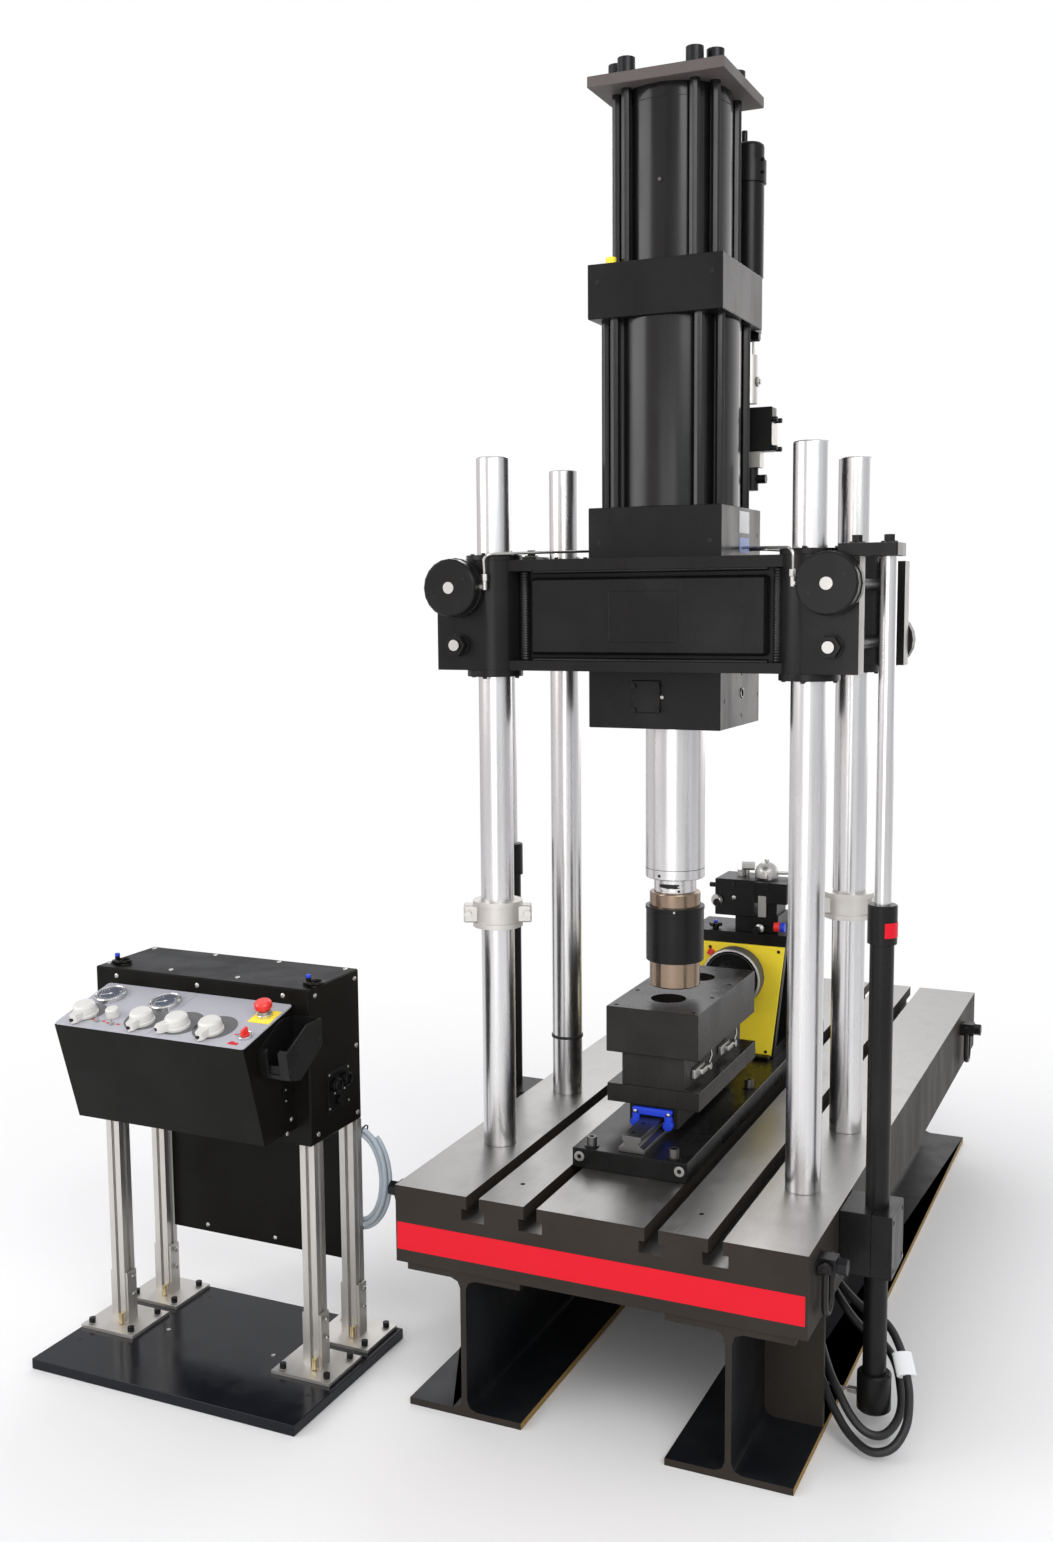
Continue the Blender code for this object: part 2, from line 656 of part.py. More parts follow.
def combined(body, others, operation):
    """Join shapes to a body or cut them from it, and keep only the result."""
    for other in others:
        change = body.modifiers.new("change", "BOOLEAN")
        change.object = other
        change.operation = operation
    bpy.context.view_layer.update()
    seen = body.evaluated_get(bpy.context.evaluated_depsgraph_get())
    mesh = bpy.data.meshes.new_from_object(seen)
    body.modifiers.clear()
    body.data = mesh
    for other in others:
        bpy.data.objects.remove(other, do_unlink=True)
    return body


def joined(body, *others):
    """Weld shapes into one solid."""
    return combined(body, others, "UNION")


def cut(body, *others):
    """Cut shapes out of a body."""
    return combined(body, others, "DIFFERENCE")


def placed(solid, matrix):
    """Move a shape's own points."""
    solid.data.transform(matrix)
    return solid


def piece(name, solid, material, group=None, origin=None):
    """Name a finished solid, set its material, shading and origin, and hang it on its group."""
    solid.name = name
    solid.data.name = name
    solid.data.materials.clear()
    solid.data.materials.append(material)
    solid.data.shade_smooth()
    solid.data.set_sharp_from_angle(angle=SMOOTH_BELOW)
    if origin is None and group is not None:
        origin = group.location
    if origin is not None:
        solid.data.transform(Matrix.Translation(-Vector(origin)))
        solid.location = origin
    if group is not None:
        bpy.context.view_layer.update()
        solid.parent = group
        solid.matrix_parent_inverse = group.matrix_world.inverted()
    return solid


def group_at(name, location, parent=None):
    """Make an empty that carries the pieces which move together."""
    empty = bpy.data.objects.new(name, None)
    empty.location = location
    bpy.context.scene.collection.objects.link(empty)
    bpy.context.view_layer.update()
    if parent is not None:
        empty.parent = parent
        empty.matrix_parent_inverse = parent.matrix_world.inverted()
        bpy.context.view_layer.update()
    return empty


def beam_outline(centre):
    """Section of a rolled I-beam with its root fillets."""
    half = BEAM_FLANGE_WIDTH / 2
    web = BEAM_WEB_THICKNESS / 2
    low, high = BEAM_FLANGE_THICKNESS, BEAM_HEIGHT - BEAM_FLANGE_THICKNESS
    root = web + BEAM_ROOT_RADIUS
    right = [(half, BEAM_HEIGHT), (half, high)]
    right += arc((root, high - BEAM_ROOT_RADIUS), BEAM_ROOT_RADIUS, 90, 180)
    right += arc((root, low + BEAM_ROOT_RADIUS), BEAM_ROOT_RADIUS, 180, 270)
    right += [(half, low), (half, 0.0)]
    left = [(-x, z) for x, z in reversed(right)]
    return [(centre + x, z) for x, z in right + left]


def build_beams(steel):
    """The two I-beams that the table stands on, each with a welded stiffener on its outer side."""
    front, rear = TABLE_FRONT + BEAM_INSET, TABLE_REAR + BEAM_INSET
    for name, side in (("beam_left", -1), ("beam_right", 1)):
        beam = prism(beam_outline(side * BEAM_OFFSET), "Y", front, rear)
        inner = side * (BEAM_OFFSET + BEAM_WEB_THICKNESS / 2 - BITE)
        outer = side * (BEAM_OFFSET + BEAM_FLANGE_WIDTH / 2 - STIFFENER_INSET)
        stiffener = box(
            (min(inner, outer), -STIFFENER_OFFSET - STIFFENER_THICKNESS / 2, BEAM_FLANGE_THICKNESS - BITE),
            (max(inner, outer), -STIFFENER_OFFSET + STIFFENER_THICKNESS / 2,
             BEAM_HEIGHT - BEAM_FLANGE_THICKNESS + BITE))
        piece(name, joined(beam, stiffener), steel)


def table_outline():
    """Section of the table with its four T-slots."""
    neck, foot = SLOT_NECK / 2, SLOT_FOOT / 2
    shoulder, floor = TABLE_TOP - SLOT_NECK_DEPTH, TABLE_TOP - SLOT_DEPTH
    points = [(-TABLE_HALF, TABLE_BOTTOM), (TABLE_HALF, TABLE_BOTTOM), (TABLE_HALF, TABLE_TOP)]
    for count in (2, 1, -1, -2):
        x = count * SLOT_PITCH
        points += [(x + neck, TABLE_TOP), (x + neck, shoulder), (x + foot, shoulder), (x + foot, floor),
                   (x - foot, floor), (x - foot, shoulder), (x - neck, shoulder), (x - neck, TABLE_TOP)]
    return points + [(-TABLE_HALF, TABLE_TOP)]


def hoist_places():
    """Side and y of the four hoist rings."""
    for side in (-1, 1):
        for end, y in (("front", TABLE_FRONT + HOIST_FROM_FRONT), ("rear", TABLE_REAR - HOIST_FROM_REAR)):
            yield side, end, y


def build_table(steel):
    """The T-slotted table, with the fixed swivel bodies of its hoist rings bolted to its sides."""
    table = prism(table_outline(), "Y", TABLE_FRONT, TABLE_REAR)
    height = TABLE_TOP - HOIST_BELOW_TOP
    bodies = []
    for side, _, y in hoist_places():
        face = side * (TABLE_HALF - HOIST_SPIGOT)
        out = side * (TABLE_HALF + HOIST_BODY_LENGTH)
        bodies.append(box((min(face, out), y - HOIST_BODY_HALF, height - HOIST_BODY_HALF),
                          (max(face, out), y + HOIST_BODY_HALF, height + HOIST_BODY_HALF)))
        bodies.append(hexagon((0, y, height), "X", out - side * HOIST_SPIGOT, out + side * HOIST_HEAD_LENGTH,
                              HOIST_HEAD_FLATS))
        reach = HOIST_BODY_HALF + TRUNNION_LENGTH
        middle = side * (TABLE_HALF + HOIST_BODY_LENGTH / 2)
        bodies.append(rod((middle, 0, height), "Y", y - reach, y + reach, TRUNNION_RADIUS, SMALL_SIDES))
    table = joined(table, *bodies)
    holes = [rod((side * TAPPED_HOLE_X, TABLE_FRONT + TAPPED_HOLE_FROM_FRONT, 0), "Z",
                 TABLE_TOP - TAPPED_HOLE_DEPTH, TABLE_TOP + BITE, TAPPED_HOLE_RADIUS, TINY_SIDES)
             for side in (-1, 1)]
    piece("t_slot_table", cut(table, *holes), steel)


def bow_mesh(middle, y, height):
    """A hoist bow: a round bar bent into a U below two eyes that turn on the trunnions."""
    editor = bmesh.new()
    centre_drop = BOW_DROP
    path = [(-BOW_HALF_WIDTH, 0.0)]
    path += [(u, v - centre_drop) for u, v in arc((0.0, 0.0), BOW_HALF_WIDTH, 180, 360, 6)]
    path += [(BOW_HALF_WIDTH, 0.0)]
    rings = []
    for index, (u, v) in enumerate(path):
        before = Vector(path[max(index - 1, 0)])
        after = Vector(path[min(index + 1, len(path) - 1)])
        along = (after - before).normalized()
        outward = Vector((along[1], -along[0]))
        ring = []
        for step in range(BOW_SIDES):
            angle = math.tau * step / BOW_SIDES
            across = BOW_BAR_RADIUS * math.cos(angle)
            ring.append(editor.verts.new((middle + BOW_BAR_RADIUS * math.sin(angle),
                                          y + u + outward[0] * across, height + v + outward[1] * across)))
        rings.append(ring)
    sides = len(rings[0])
    for lower, upper in zip(rings, rings[1:]):
        for step in range(sides):
            after = (step + 1) % sides
            editor.faces.new((lower[step], lower[after], upper[after], upper[step]))
    editor.faces.new(rings[0])
    editor.faces.new(rings[-1])
    return solid_from(editor)


def build_hoist_bows(steel):
    """The four swinging bows."""
    height = TABLE_TOP - HOIST_BELOW_TOP
    for side, end, y in hoist_places():
        middle = side * (TABLE_HALF + HOIST_BODY_LENGTH / 2)
        bow = bow_mesh(middle, y, height)
        eyes = [rod((middle, 0, height), "Y", y + sign * (BOW_HALF_WIDTH - BOW_EYE_WIDTH / 2),
                    y + sign * (BOW_HALF_WIDTH + BOW_EYE_WIDTH / 2), BOW_EYE_RADIUS, SMALL_SIDES)
                for sign in (-1, 1)]
        reach = BOW_HALF_WIDTH + BOW_EYE_WIDTH
        bore = rod((middle, 0, height), "Y", y - reach, y + reach, TRUNNION_RADIUS + RUNNING_GAP, SMALL_SIDES)
        bow = cut(joined(bow, *eyes), bore)
        name = f"hoist_bow_{end}_{'right' if side > 0 else 'left'}"
        piece(name, bow, steel, origin=(middle, y, height))


def build_columns(chrome):
    """The four polished columns."""
    for name, sx, sy in (("column_front_left", -1, -1), ("column_front_right", 1, -1),
                         ("column_rear_left", -1, 1), ("column_rear_right", 1, 1)):
        profile = [(COLUMN_RADIUS, TABLE_TOP + GAP), (COLUMN_RADIUS, COLUMN_TOP - COLUMN_CHAMFER),
                   (COLUMN_RADIUS - COLUMN_CHAMFER, COLUMN_TOP)]
        column = turned(profile, (sx * COLUMN_X, sy * COLUMN_Y, 0), sides=FINE_SIDES)
        piece(name, column, chrome)


def build_stop_collars(alloy):
    """Split collars clamped on two diagonal columns; they stop the crosshead on its way down."""
    bottom = TABLE_TOP + COLLAR_ABOVE_TABLE
    top = bottom + COLLAR_HEIGHT
    bore = COLUMN_RADIUS + GAP
    for name, sx, sy in (("stop_collar_front_left", -1, -1), ("stop_collar_rear_right", 1, 1)):
        foot = (sx * COLUMN_X, sy * COLUMN_Y, 0)
        ring = turned([(COLLAR_RADIUS, bottom), (COLLAR_RADIUS, bottom + COLLAR_RIM),
                       (COLLAR_BAND_RADIUS, bottom + COLLAR_RIM), (COLLAR_BAND_RADIUS, top - COLLAR_RIM),
                       (COLLAR_RADIUS, top - COLLAR_RIM), (COLLAR_RADIUS, top)], foot)
        middle = (bottom + top) / 2
        ears = centred_box((0, 0, middle), (COLLAR_EAR_REACH, COLLAR_EAR_HALF, COLLAR_EAR_HEIGHT / 2), EDGE_ROUND)
        turn = Matrix.Translation(foot) @ Matrix.Rotation(COLLAR_TURN, 4, "Z")
        placed(ears, turn)
        bolt_x = (COLLAR_RADIUS + COLLAR_EAR_REACH) / 2
        bolts = []
        for sign in (-1, 1):
            head = hexagon((sign * bolt_x, 0, middle), "Y", -COLLAR_EAR_HALF - COLLAR_BOLT_RADIUS,
                           COLLAR_EAR_HALF + COLLAR_BOLT_RADIUS, 2 * COLLAR_BOLT_RADIUS)
            bolts.append(placed(head, turn))
        split = centred_box((COLLAR_EAR_REACH, 0, middle),
                            (COLLAR_EAR_REACH - COLUMN_RADIUS + BITE, COLLAR_SPLIT / 2, COLLAR_HEIGHT))
        placed(split, turn)
        hole = rod(foot, "Z", bottom - BITE, top + BITE, bore, FINE_SIDES)
        collar = cut(joined(ring, ears), hole, split)
        piece(name, joined(collar, *bolts), alloy)


def lift_cylinder():
    """Front right lift cylinder: cap, tube and gland in a clamp block on the side of the table."""
    foot = (LIFT_X, LIFT_Y, 0)
    cap_top = LIFT_CAP_BOTTOM + LIFT_CAP_HEIGHT
    tube_top = TABLE_TOP + LIFT_TUBE_TOP
    gland_top = tube_top + LIFT_GLAND_HEIGHT
    body = turned([(LIFT_CAP_RADIUS - LIFT_EDGE, LIFT_CAP_BOTTOM), (LIFT_CAP_RADIUS, LIFT_CAP_BOTTOM + LIFT_EDGE),
                   (LIFT_CAP_RADIUS, cap_top - LIFT_EDGE), (LIFT_CAP_RADIUS - LIFT_EDGE, cap_top),
                   (LIFT_TUBE_RADIUS, cap_top), (LIFT_TUBE_RADIUS, tube_top),
                   (LIFT_GLAND_RADIUS, tube_top), (LIFT_GLAND_RADIUS, gland_top - LIFT_EDGE / 2),
                   (LIFT_GLAND_RADIUS - LIFT_EDGE / 2, gland_top)], foot)
    low = TABLE_TOP - BRACKET_BELOW_TOP - BRACKET_HEIGHT
    high = TABLE_TOP - BRACKET_BELOW_TOP
    outer = TABLE_HALF + BRACKET_OUT
    bracket = box((TABLE_HALF + GAP, LIFT_Y - BRACKET_HALF, low), (outer, LIFT_Y + BRACKET_HALF, high), EDGE_SMALL)
    grooves = []
    for sign in (-1, 1):
        face = LIFT_Y + sign * BRACKET_HALF
        grooves.append(centred_box((LIFT_X, face, (low + high) / 2),
                                   (BRACKET_SPLIT / 2, BRACKET_SPLIT_DEPTH, BRACKET_HEIGHT)))
        grooves.append(centred_box((LIFT_X, LIFT_Y, (high if sign > 0 else low)),
                                   (BRACKET_SPLIT / 2, BRACKET_HALF * 2, BRACKET_SPLIT_DEPTH)))
    sockets = []
    for sy in (-1, 1):
        for z in (low + BRACKET_BOLT_INSET, high - BRACKET_BOLT_INSET):
            y = LIFT_Y + sy * (BRACKET_HALF - BRACKET_BOLT_INSET)
            sockets.append(rod((0, y, z), "X", outer - BRACKET_BOLT_DEPTH, outer + BITE,
                               BRACKET_BOLT_RADIUS, TINY_SIDES))
    bracket = cut(bracket, *grooves, *sockets)
    bore = rod(foot, "Z", LIFT_BORE_BOTTOM, gland_top + BITE, LIFT_ROD_RADIUS + RUNNING_GAP)
    return cut(joined(bracket, body), bore)


def lift_rod():
    """Front right lift rod with the plate that bolts to the crosshead's outer clamp ears."""
    foot = (LIFT_X, LIFT_Y, 0)
    low = EAR_TOP + GAP
    high = low + LIFT_PLATE_THICKNESS
    shaft = rod(foot, "Z", LIFT_ROD_BOTTOM, low + BITE, LIFT_ROD_RADIUS)
    outline = rounded_rectangle(LIFT_X - LIFT_PLATE_INNER, LIFT_X + LIFT_PLATE_OUTER,
                                LIFT_Y - LIFT_PLATE_HALF, LIFT_Y + LIFT_PLATE_HALF, EDGE_WIDE)
    plate = prism(outline, "Z", low, high)
    heads = []
    for x in (LIFT_X, LIFT_X - LIFT_PLATE_BOLT_BACK):
        washer = high + LIFT_WASHER_THICKNESS
        heads.append(rod((x, LIFT_Y, 0), "Z", high - BITE, washer, LIFT_WASHER_RADIUS, SMALL_SIDES))
        heads.append(hexagon((x, LIFT_Y, 0), "Z", washer - BITE, washer + LIFT_BOLT_HEIGHT, LIFT_BOLT_FLATS))
    return joined(plate, shaft, *heads)


def build_lifts(painted, chrome, crosshead_group):
    """Both lift cylinders and their rods; the left one is the right one turned half a turn."""
    half_turn = Matrix.Rotation(math.pi, 4, "Z")
    piece("lift_cylinder_right", lift_cylinder(), painted)
    piece("lift_cylinder_left", placed(lift_cylinder(), half_turn), painted)
    piece("lift_rod_right", lift_rod(), chrome, crosshead_group)
    piece("lift_rod_left", placed(lift_rod(), half_turn), chrome, crosshead_group)


def build_crosshead(painted, group):
    """The crosshead weldment: flanges, core and split column bosses with one clamp ear each."""
    bottom, top = CROSSHEAD_BOTTOM, CROSSHEAD_TOP
    core = box((-CROSSHEAD_CORE_X, -CROSSHEAD_CORE_Y, bottom + BITE),
               (CROSSHEAD_CORE_X, CROSSHEAD_CORE_Y, top - BITE))
    outline = rounded_rectangle(-FLANGE_X, FLANGE_X, -FLANGE_Y, FLANGE_Y, FLANGE_CORNER)
    shapes = [prism(outline, "Z", bottom, bottom + BOTTOM_FLANGE), prism(outline, "Z", top - TOP_FLANGE, top)]
    bores = [rod((0, 0, 0), "Z", bottom - BITE, top + BITE, ROD_RADIUS + RUNNING_GAP, FINE_SIDES)]
    slits = []
    for sx in (-1, 1):
        for sy in (-1, 1):
            foot = (sx * COLUMN_X, sy * COLUMN_Y, 0)
            ear_start, ear_end = sx * COLUMN_X, sx * (COLUMN_X + EAR_REACH)
            boss = turned([(WIPER_RADIUS, bottom - WIPER_UNDER), (WIPER_RADIUS, bottom),
                           (BOSS_RADIUS, bottom), (BOSS_RADIUS, top),
                           (WIPER_RADIUS, top), (WIPER_RADIUS, top + WIPER_OVER)], foot)
            ear = box((min(ear_start, ear_end), min(sy * COLUMN_Y, sy * EAR_FACE), bottom + BITE),
                      (max(ear_start, ear_end), max(sy * COLUMN_Y, sy * EAR_FACE), EAR_TOP))
            shapes += [boss, ear]
            bores.append(rod(foot, "Z", bottom - WIPER_UNDER - BITE, top + WIPER_OVER + BITE,
                             COLUMN_RADIUS + COLUMN_BORE_GAP))
            slits.append(box((min(ear_start, ear_end) - (BITE if sx < 0 else 0), sy * COLUMN_Y - EAR_SLIT / 2,
                              bottom + BITE / 2),
                             (max(ear_start, ear_end) + (BITE if sx > 0 else 0), sy * COLUMN_Y + EAR_SLIT / 2,
                              top - BITE / 2)))
        for height in (UPPER_STUD_HEIGHT, LOWER_STUD_HEIGHT):
            bores.append(rod((sx * STUD_X, 0, bottom + height), "Y", -EAR_FACE - BITE, EAR_FACE + BITE,
                             STUD_RADIUS + RUNNING_GAP, SMALL_SIDES))
    crosshead = cut(joined(core, *shapes), *bores, *slits)
    piece("crosshead", crosshead, painted, group)


def build_crosshead_cover(painted, group):
    """The folded front cover with a bare raised plate."""
    back = -CROSSHEAD_CORE_Y - GAP
    front = back - COVER_DEPTH
    low = CROSSHEAD_BOTTOM + COVER_FROM_BOTTOM
    cover = box((-COVER_HALF_WIDTH, front, low), (COVER_HALF_WIDTH, back, low + COVER_HEIGHT), COVER_CORNER)
    middle = CROSSHEAD_BOTTOM + BADGE_ABOVE_BOTTOM
    outline = rounded_rectangle(BADGE_CENTRE_X - BADGE_WIDTH / 2, BADGE_CENTRE_X + BADGE_WIDTH / 2,
                                middle - BADGE_HEIGHT / 2, middle + BADGE_HEIGHT / 2, EDGE_ROUND)
    badge = prism(outline, "Y", front - BADGE_THICKNESS, front + BITE)
    piece("crosshead_cover", joined(cover, badge), painted, group)


def clamp_stud(x, z, facing):
    """One long clamp stud: a hydraulic lock cap on one end and a nut on the other."""
    face = EAR_FACE + GAP
    cap_end = face + CAP_THICKNESS
    stud_end = cap_end + STUD_PROUD
    nut_start = face + WASHER_THICKNESS
    nut_end = nut_start + NUT_THICKNESS
    foot = (x, 0, z)
    cap = turned([(CAP_RADIUS, facing * face), (CAP_RADIUS, facing * (face + CAP_STEP)),
                  (CAP_FACE_RADIUS + CAP_EDGE, facing * (face + CAP_STEP)),
                  (CAP_FACE_RADIUS + CAP_EDGE, facing * (cap_end - CAP_EDGE)),
                  (CAP_FACE_RADIUS, facing * cap_end)], foot, "Y", SIDES)
    shaft = rod(foot, "Y", facing * stud_end, -facing * (nut_end + NUT_STUD_PROUD), STUD_RADIUS, SMALL_SIDES)
    washer = rod(foot, "Y", -facing * face, -facing * (nut_start + BITE), WASHER_RADIUS, SMALL_SIDES)
    nut = hexagon(foot, "Y", -facing * nut_start, -facing * nut_end, NUT_FLATS)
    return joined(cap, shaft, washer, nut)


def build_clamp_studs(painted, group):
    """Four studs that close the column clamps, lock caps in front above and behind below."""
    for side, x in (("left", -STUD_X), ("right", STUD_X)):
        upper = clamp_stud(x, CROSSHEAD_BOTTOM + UPPER_STUD_HEIGHT, -1)
        piece(f"clamp_stud_{side}_upper", upper, painted, group)
        lower = clamp_stud(x, CROSSHEAD_BOTTOM + LOWER_STUD_HEIGHT, 1)
        piece(f"clamp_stud_{side}_lower", lower, painted, group)


def tie_places(near, far):
    """The eight tie rod positions round a barrel, two near each corner."""
    for sx in (-1, 1):
        for sy in (-1, 1):
            yield sx * near, sy * far
            yield sx * far, sy * near


def block(bottom, top):
    """A square actuator block with broken edges."""
    return box((-BLOCK_HALF_X, -BLOCK_HALF_Y, bottom), (BLOCK_HALF_X, BLOCK_HALF_Y, top), BLOCK_EDGE)


def rod_bore(bottom, top):
    """Cutter for the piston rod's way through a block."""
    return rod((0, 0, 0), "Z", bottom - BITE, top + BITE, ROD_RADIUS + RUNNING_GAP, FINE_SIDES)


def build_actuator(painted, group):
    """Nose block, base block, barrels, middle block and top plate with their tie rods."""
    nose_top = CROSSHEAD_BOTTOM - GAP
    nose = block(NOSE_BOTTOM, nose_top)
    cover_z = nose_top - NOSE_COVER_BELOW_TOP
    cover = box((NOSE_COVER_CENTRE_X - NOSE_COVER_HALF_WIDTH, -BLOCK_HALF_Y - NOSE_COVER_THICKNESS,
                 cover_z - NOSE_COVER_HALF_HEIGHT),
                (NOSE_COVER_CENTRE_X + NOSE_COVER_HALF_WIDTH, -BLOCK_HALF_Y + BITE,
                 cover_z + NOSE_COVER_HALF_HEIGHT), EDGE_SMALL)
    port = rod((0, 0, cover_z), "X", -BLOCK_HALF_X - NOSE_PORT_THICKNESS, -BLOCK_HALF_X + BITE,
               NOSE_PORT_RADIUS, SIDES)
    plug = rod((0, 0.0095, cover_z), "X", BLOCK_HALF_X - NOSE_PLUG_DEPTH, BLOCK_HALF_X + BITE,
               NOSE_PLUG_RADIUS, SMALL_SIDES)
    piece("actuator_nose_block", cut(joined(nose, cover, port), plug, rod_bore(NOSE_BOTTOM, nose_top)),
          painted, group)

    base_bottom = CROSSHEAD_TOP + GAP
    base = cut(block(base_bottom, BASE_BLOCK_TOP), rod_bore(base_bottom, BASE_BLOCK_TOP))
    piece("actuator_base_block", base, painted, group)

    inner = LOWER_BARREL_RADIUS - LOWER_BARREL_WALL
    low, high = BASE_BLOCK_TOP + GAP, LOWER_BARREL_TOP
    barrel = turned([(LOWER_BARREL_RADIUS, low), (LOWER_BARREL_RADIUS, high), (inner, high), (inner, low)],
                    sides=FINE_SIDES, hollow=True)
    piece("actuator_lower_barrel", barrel, painted, group)

    middle_bottom = LOWER_BARREL_TOP + GAP
    ties = [rod((x, y, 0), "Z", low, middle_bottom + BITE, TIE_ROD_RADIUS, TIE_ROD_SIDES)
            for x, y in tie_places(LOWER_TIE_NEAR, LOWER_TIE_FAR)]
    piece("actuator_middle_block", joined(block(middle_bottom, MIDDLE_TOP), *ties), painted, group)

    inner = UPPER_BARREL_RADIUS - UPPER_BARREL_WALL
    low, high = MIDDLE_TOP + GAP, UPPER_BARREL_TOP
    barrel = turned([(UPPER_BARREL_RADIUS, low), (UPPER_BARREL_RADIUS, high), (inner, high), (inner, low)],
                    sides=FINE_SIDES, hollow=True)
    piece("actuator_upper_barrel", barrel, painted, group)

    plate_bottom = UPPER_BARREL_TOP + GAP
    parts = []
    for x, y in tie_places(UPPER_TIE_NEAR, UPPER_TIE_FAR):
        parts.append(rod((x, y, 0), "Z", low, plate_bottom + BITE, TIE_ROD_RADIUS, TIE_ROD_SIDES))
        parts.append(rod((x, y, 0), "Z", TOP_PLATE_TOP - BITE, TOP_PLATE_TOP + TIE_NUT_HEIGHT, TIE_NUT_RADIUS,
                         SMALL_SIDES))
    piece("actuator_top_plate", joined(block(plate_bottom, TOP_PLATE_TOP), *parts), painted, group)


def build_piston(chrome, bronze, black, group):
    """Piston with its rod and slotted neck, the load cell below it and the sleeve round the cell."""
    barrel_bottom = BASE_BLOCK_TOP + GAP
    head_low = barrel_bottom + PISTON_HEAD_UP
    head_high = head_low + PISTON_HEAD_THICKNESS
    head_radius = LOWER_BARREL_RADIUS - LOWER_BARREL_WALL - RUNNING_GAP
    piston = turned([(NECK_RADIUS, NECK_BOTTOM), (NECK_RADIUS, ROD_BOTTOM),
                     (ROD_RADIUS - CELL_EDGE, ROD_BOTTOM), (ROD_RADIUS, ROD_BOTTOM + CELL_EDGE),
                     (ROD_RADIUS, head_low),
                     (head_radius, head_low), (head_radius, head_high)], sides=FINE_SIDES)
    slot_z = (NECK_BOTTOM + ROD_BOTTOM) / 2
    slots = [centred_box((0, sign * NECK_RADIUS, slot_z),
                         (NECK_RADIUS / 2, NECK_SLOT_DEPTH, NECK_SLOT_HEIGHT / 2)) for sign in (-1, 1)]
    piece("piston_rod", cut(piston, *slots), chrome, group)

    top = SLEEVE_TOP + CELL_TOP_BAND
    cell = turned([(CELL_RADIUS - CELL_EDGE, CELL_BOTTOM), (CELL_RADIUS, CELL_BOTTOM + CELL_EDGE),
                   (CELL_RADIUS, SLEEVE_BOTTOM + BITE), (CELL_WAIST_RADIUS, SLEEVE_BOTTOM + SLEEVE_RIM),
                   (CELL_WAIST_RADIUS, SLEEVE_TOP - SLEEVE_RIM), (CELL_RADIUS, SLEEVE_TOP - BITE),
                   (CELL_RADIUS, top - CELL_EDGE), (CELL_RADIUS - CELL_EDGE, top)], sides=FINE_SIDES)
    piece("load_cell", cell, bronze, group)

    inner = CELL_RADIUS + GAP
    rim = SLEEVE_RADIUS - SLEEVE_RIM_DROP
    sleeve = turned([(rim, SLEEVE_BOTTOM), (SLEEVE_RADIUS, SLEEVE_BOTTOM + SLEEVE_RIM_DROP),
                     (SLEEVE_RADIUS, SLEEVE_TOP - SLEEVE_RIM), (SLEEVE_RADIUS + SLEEVE_RIM_DROP,
                                                                SLEEVE_TOP - SLEEVE_RIM),
                     (SLEEVE_RADIUS + SLEEVE_RIM_DROP, SLEEVE_TOP), (inner, SLEEVE_TOP),
                     (inner, SLEEVE_BOTTOM)], sides=FINE_SIDES, hollow=True)
    piece("load_cell_sleeve", sleeve, black, group)


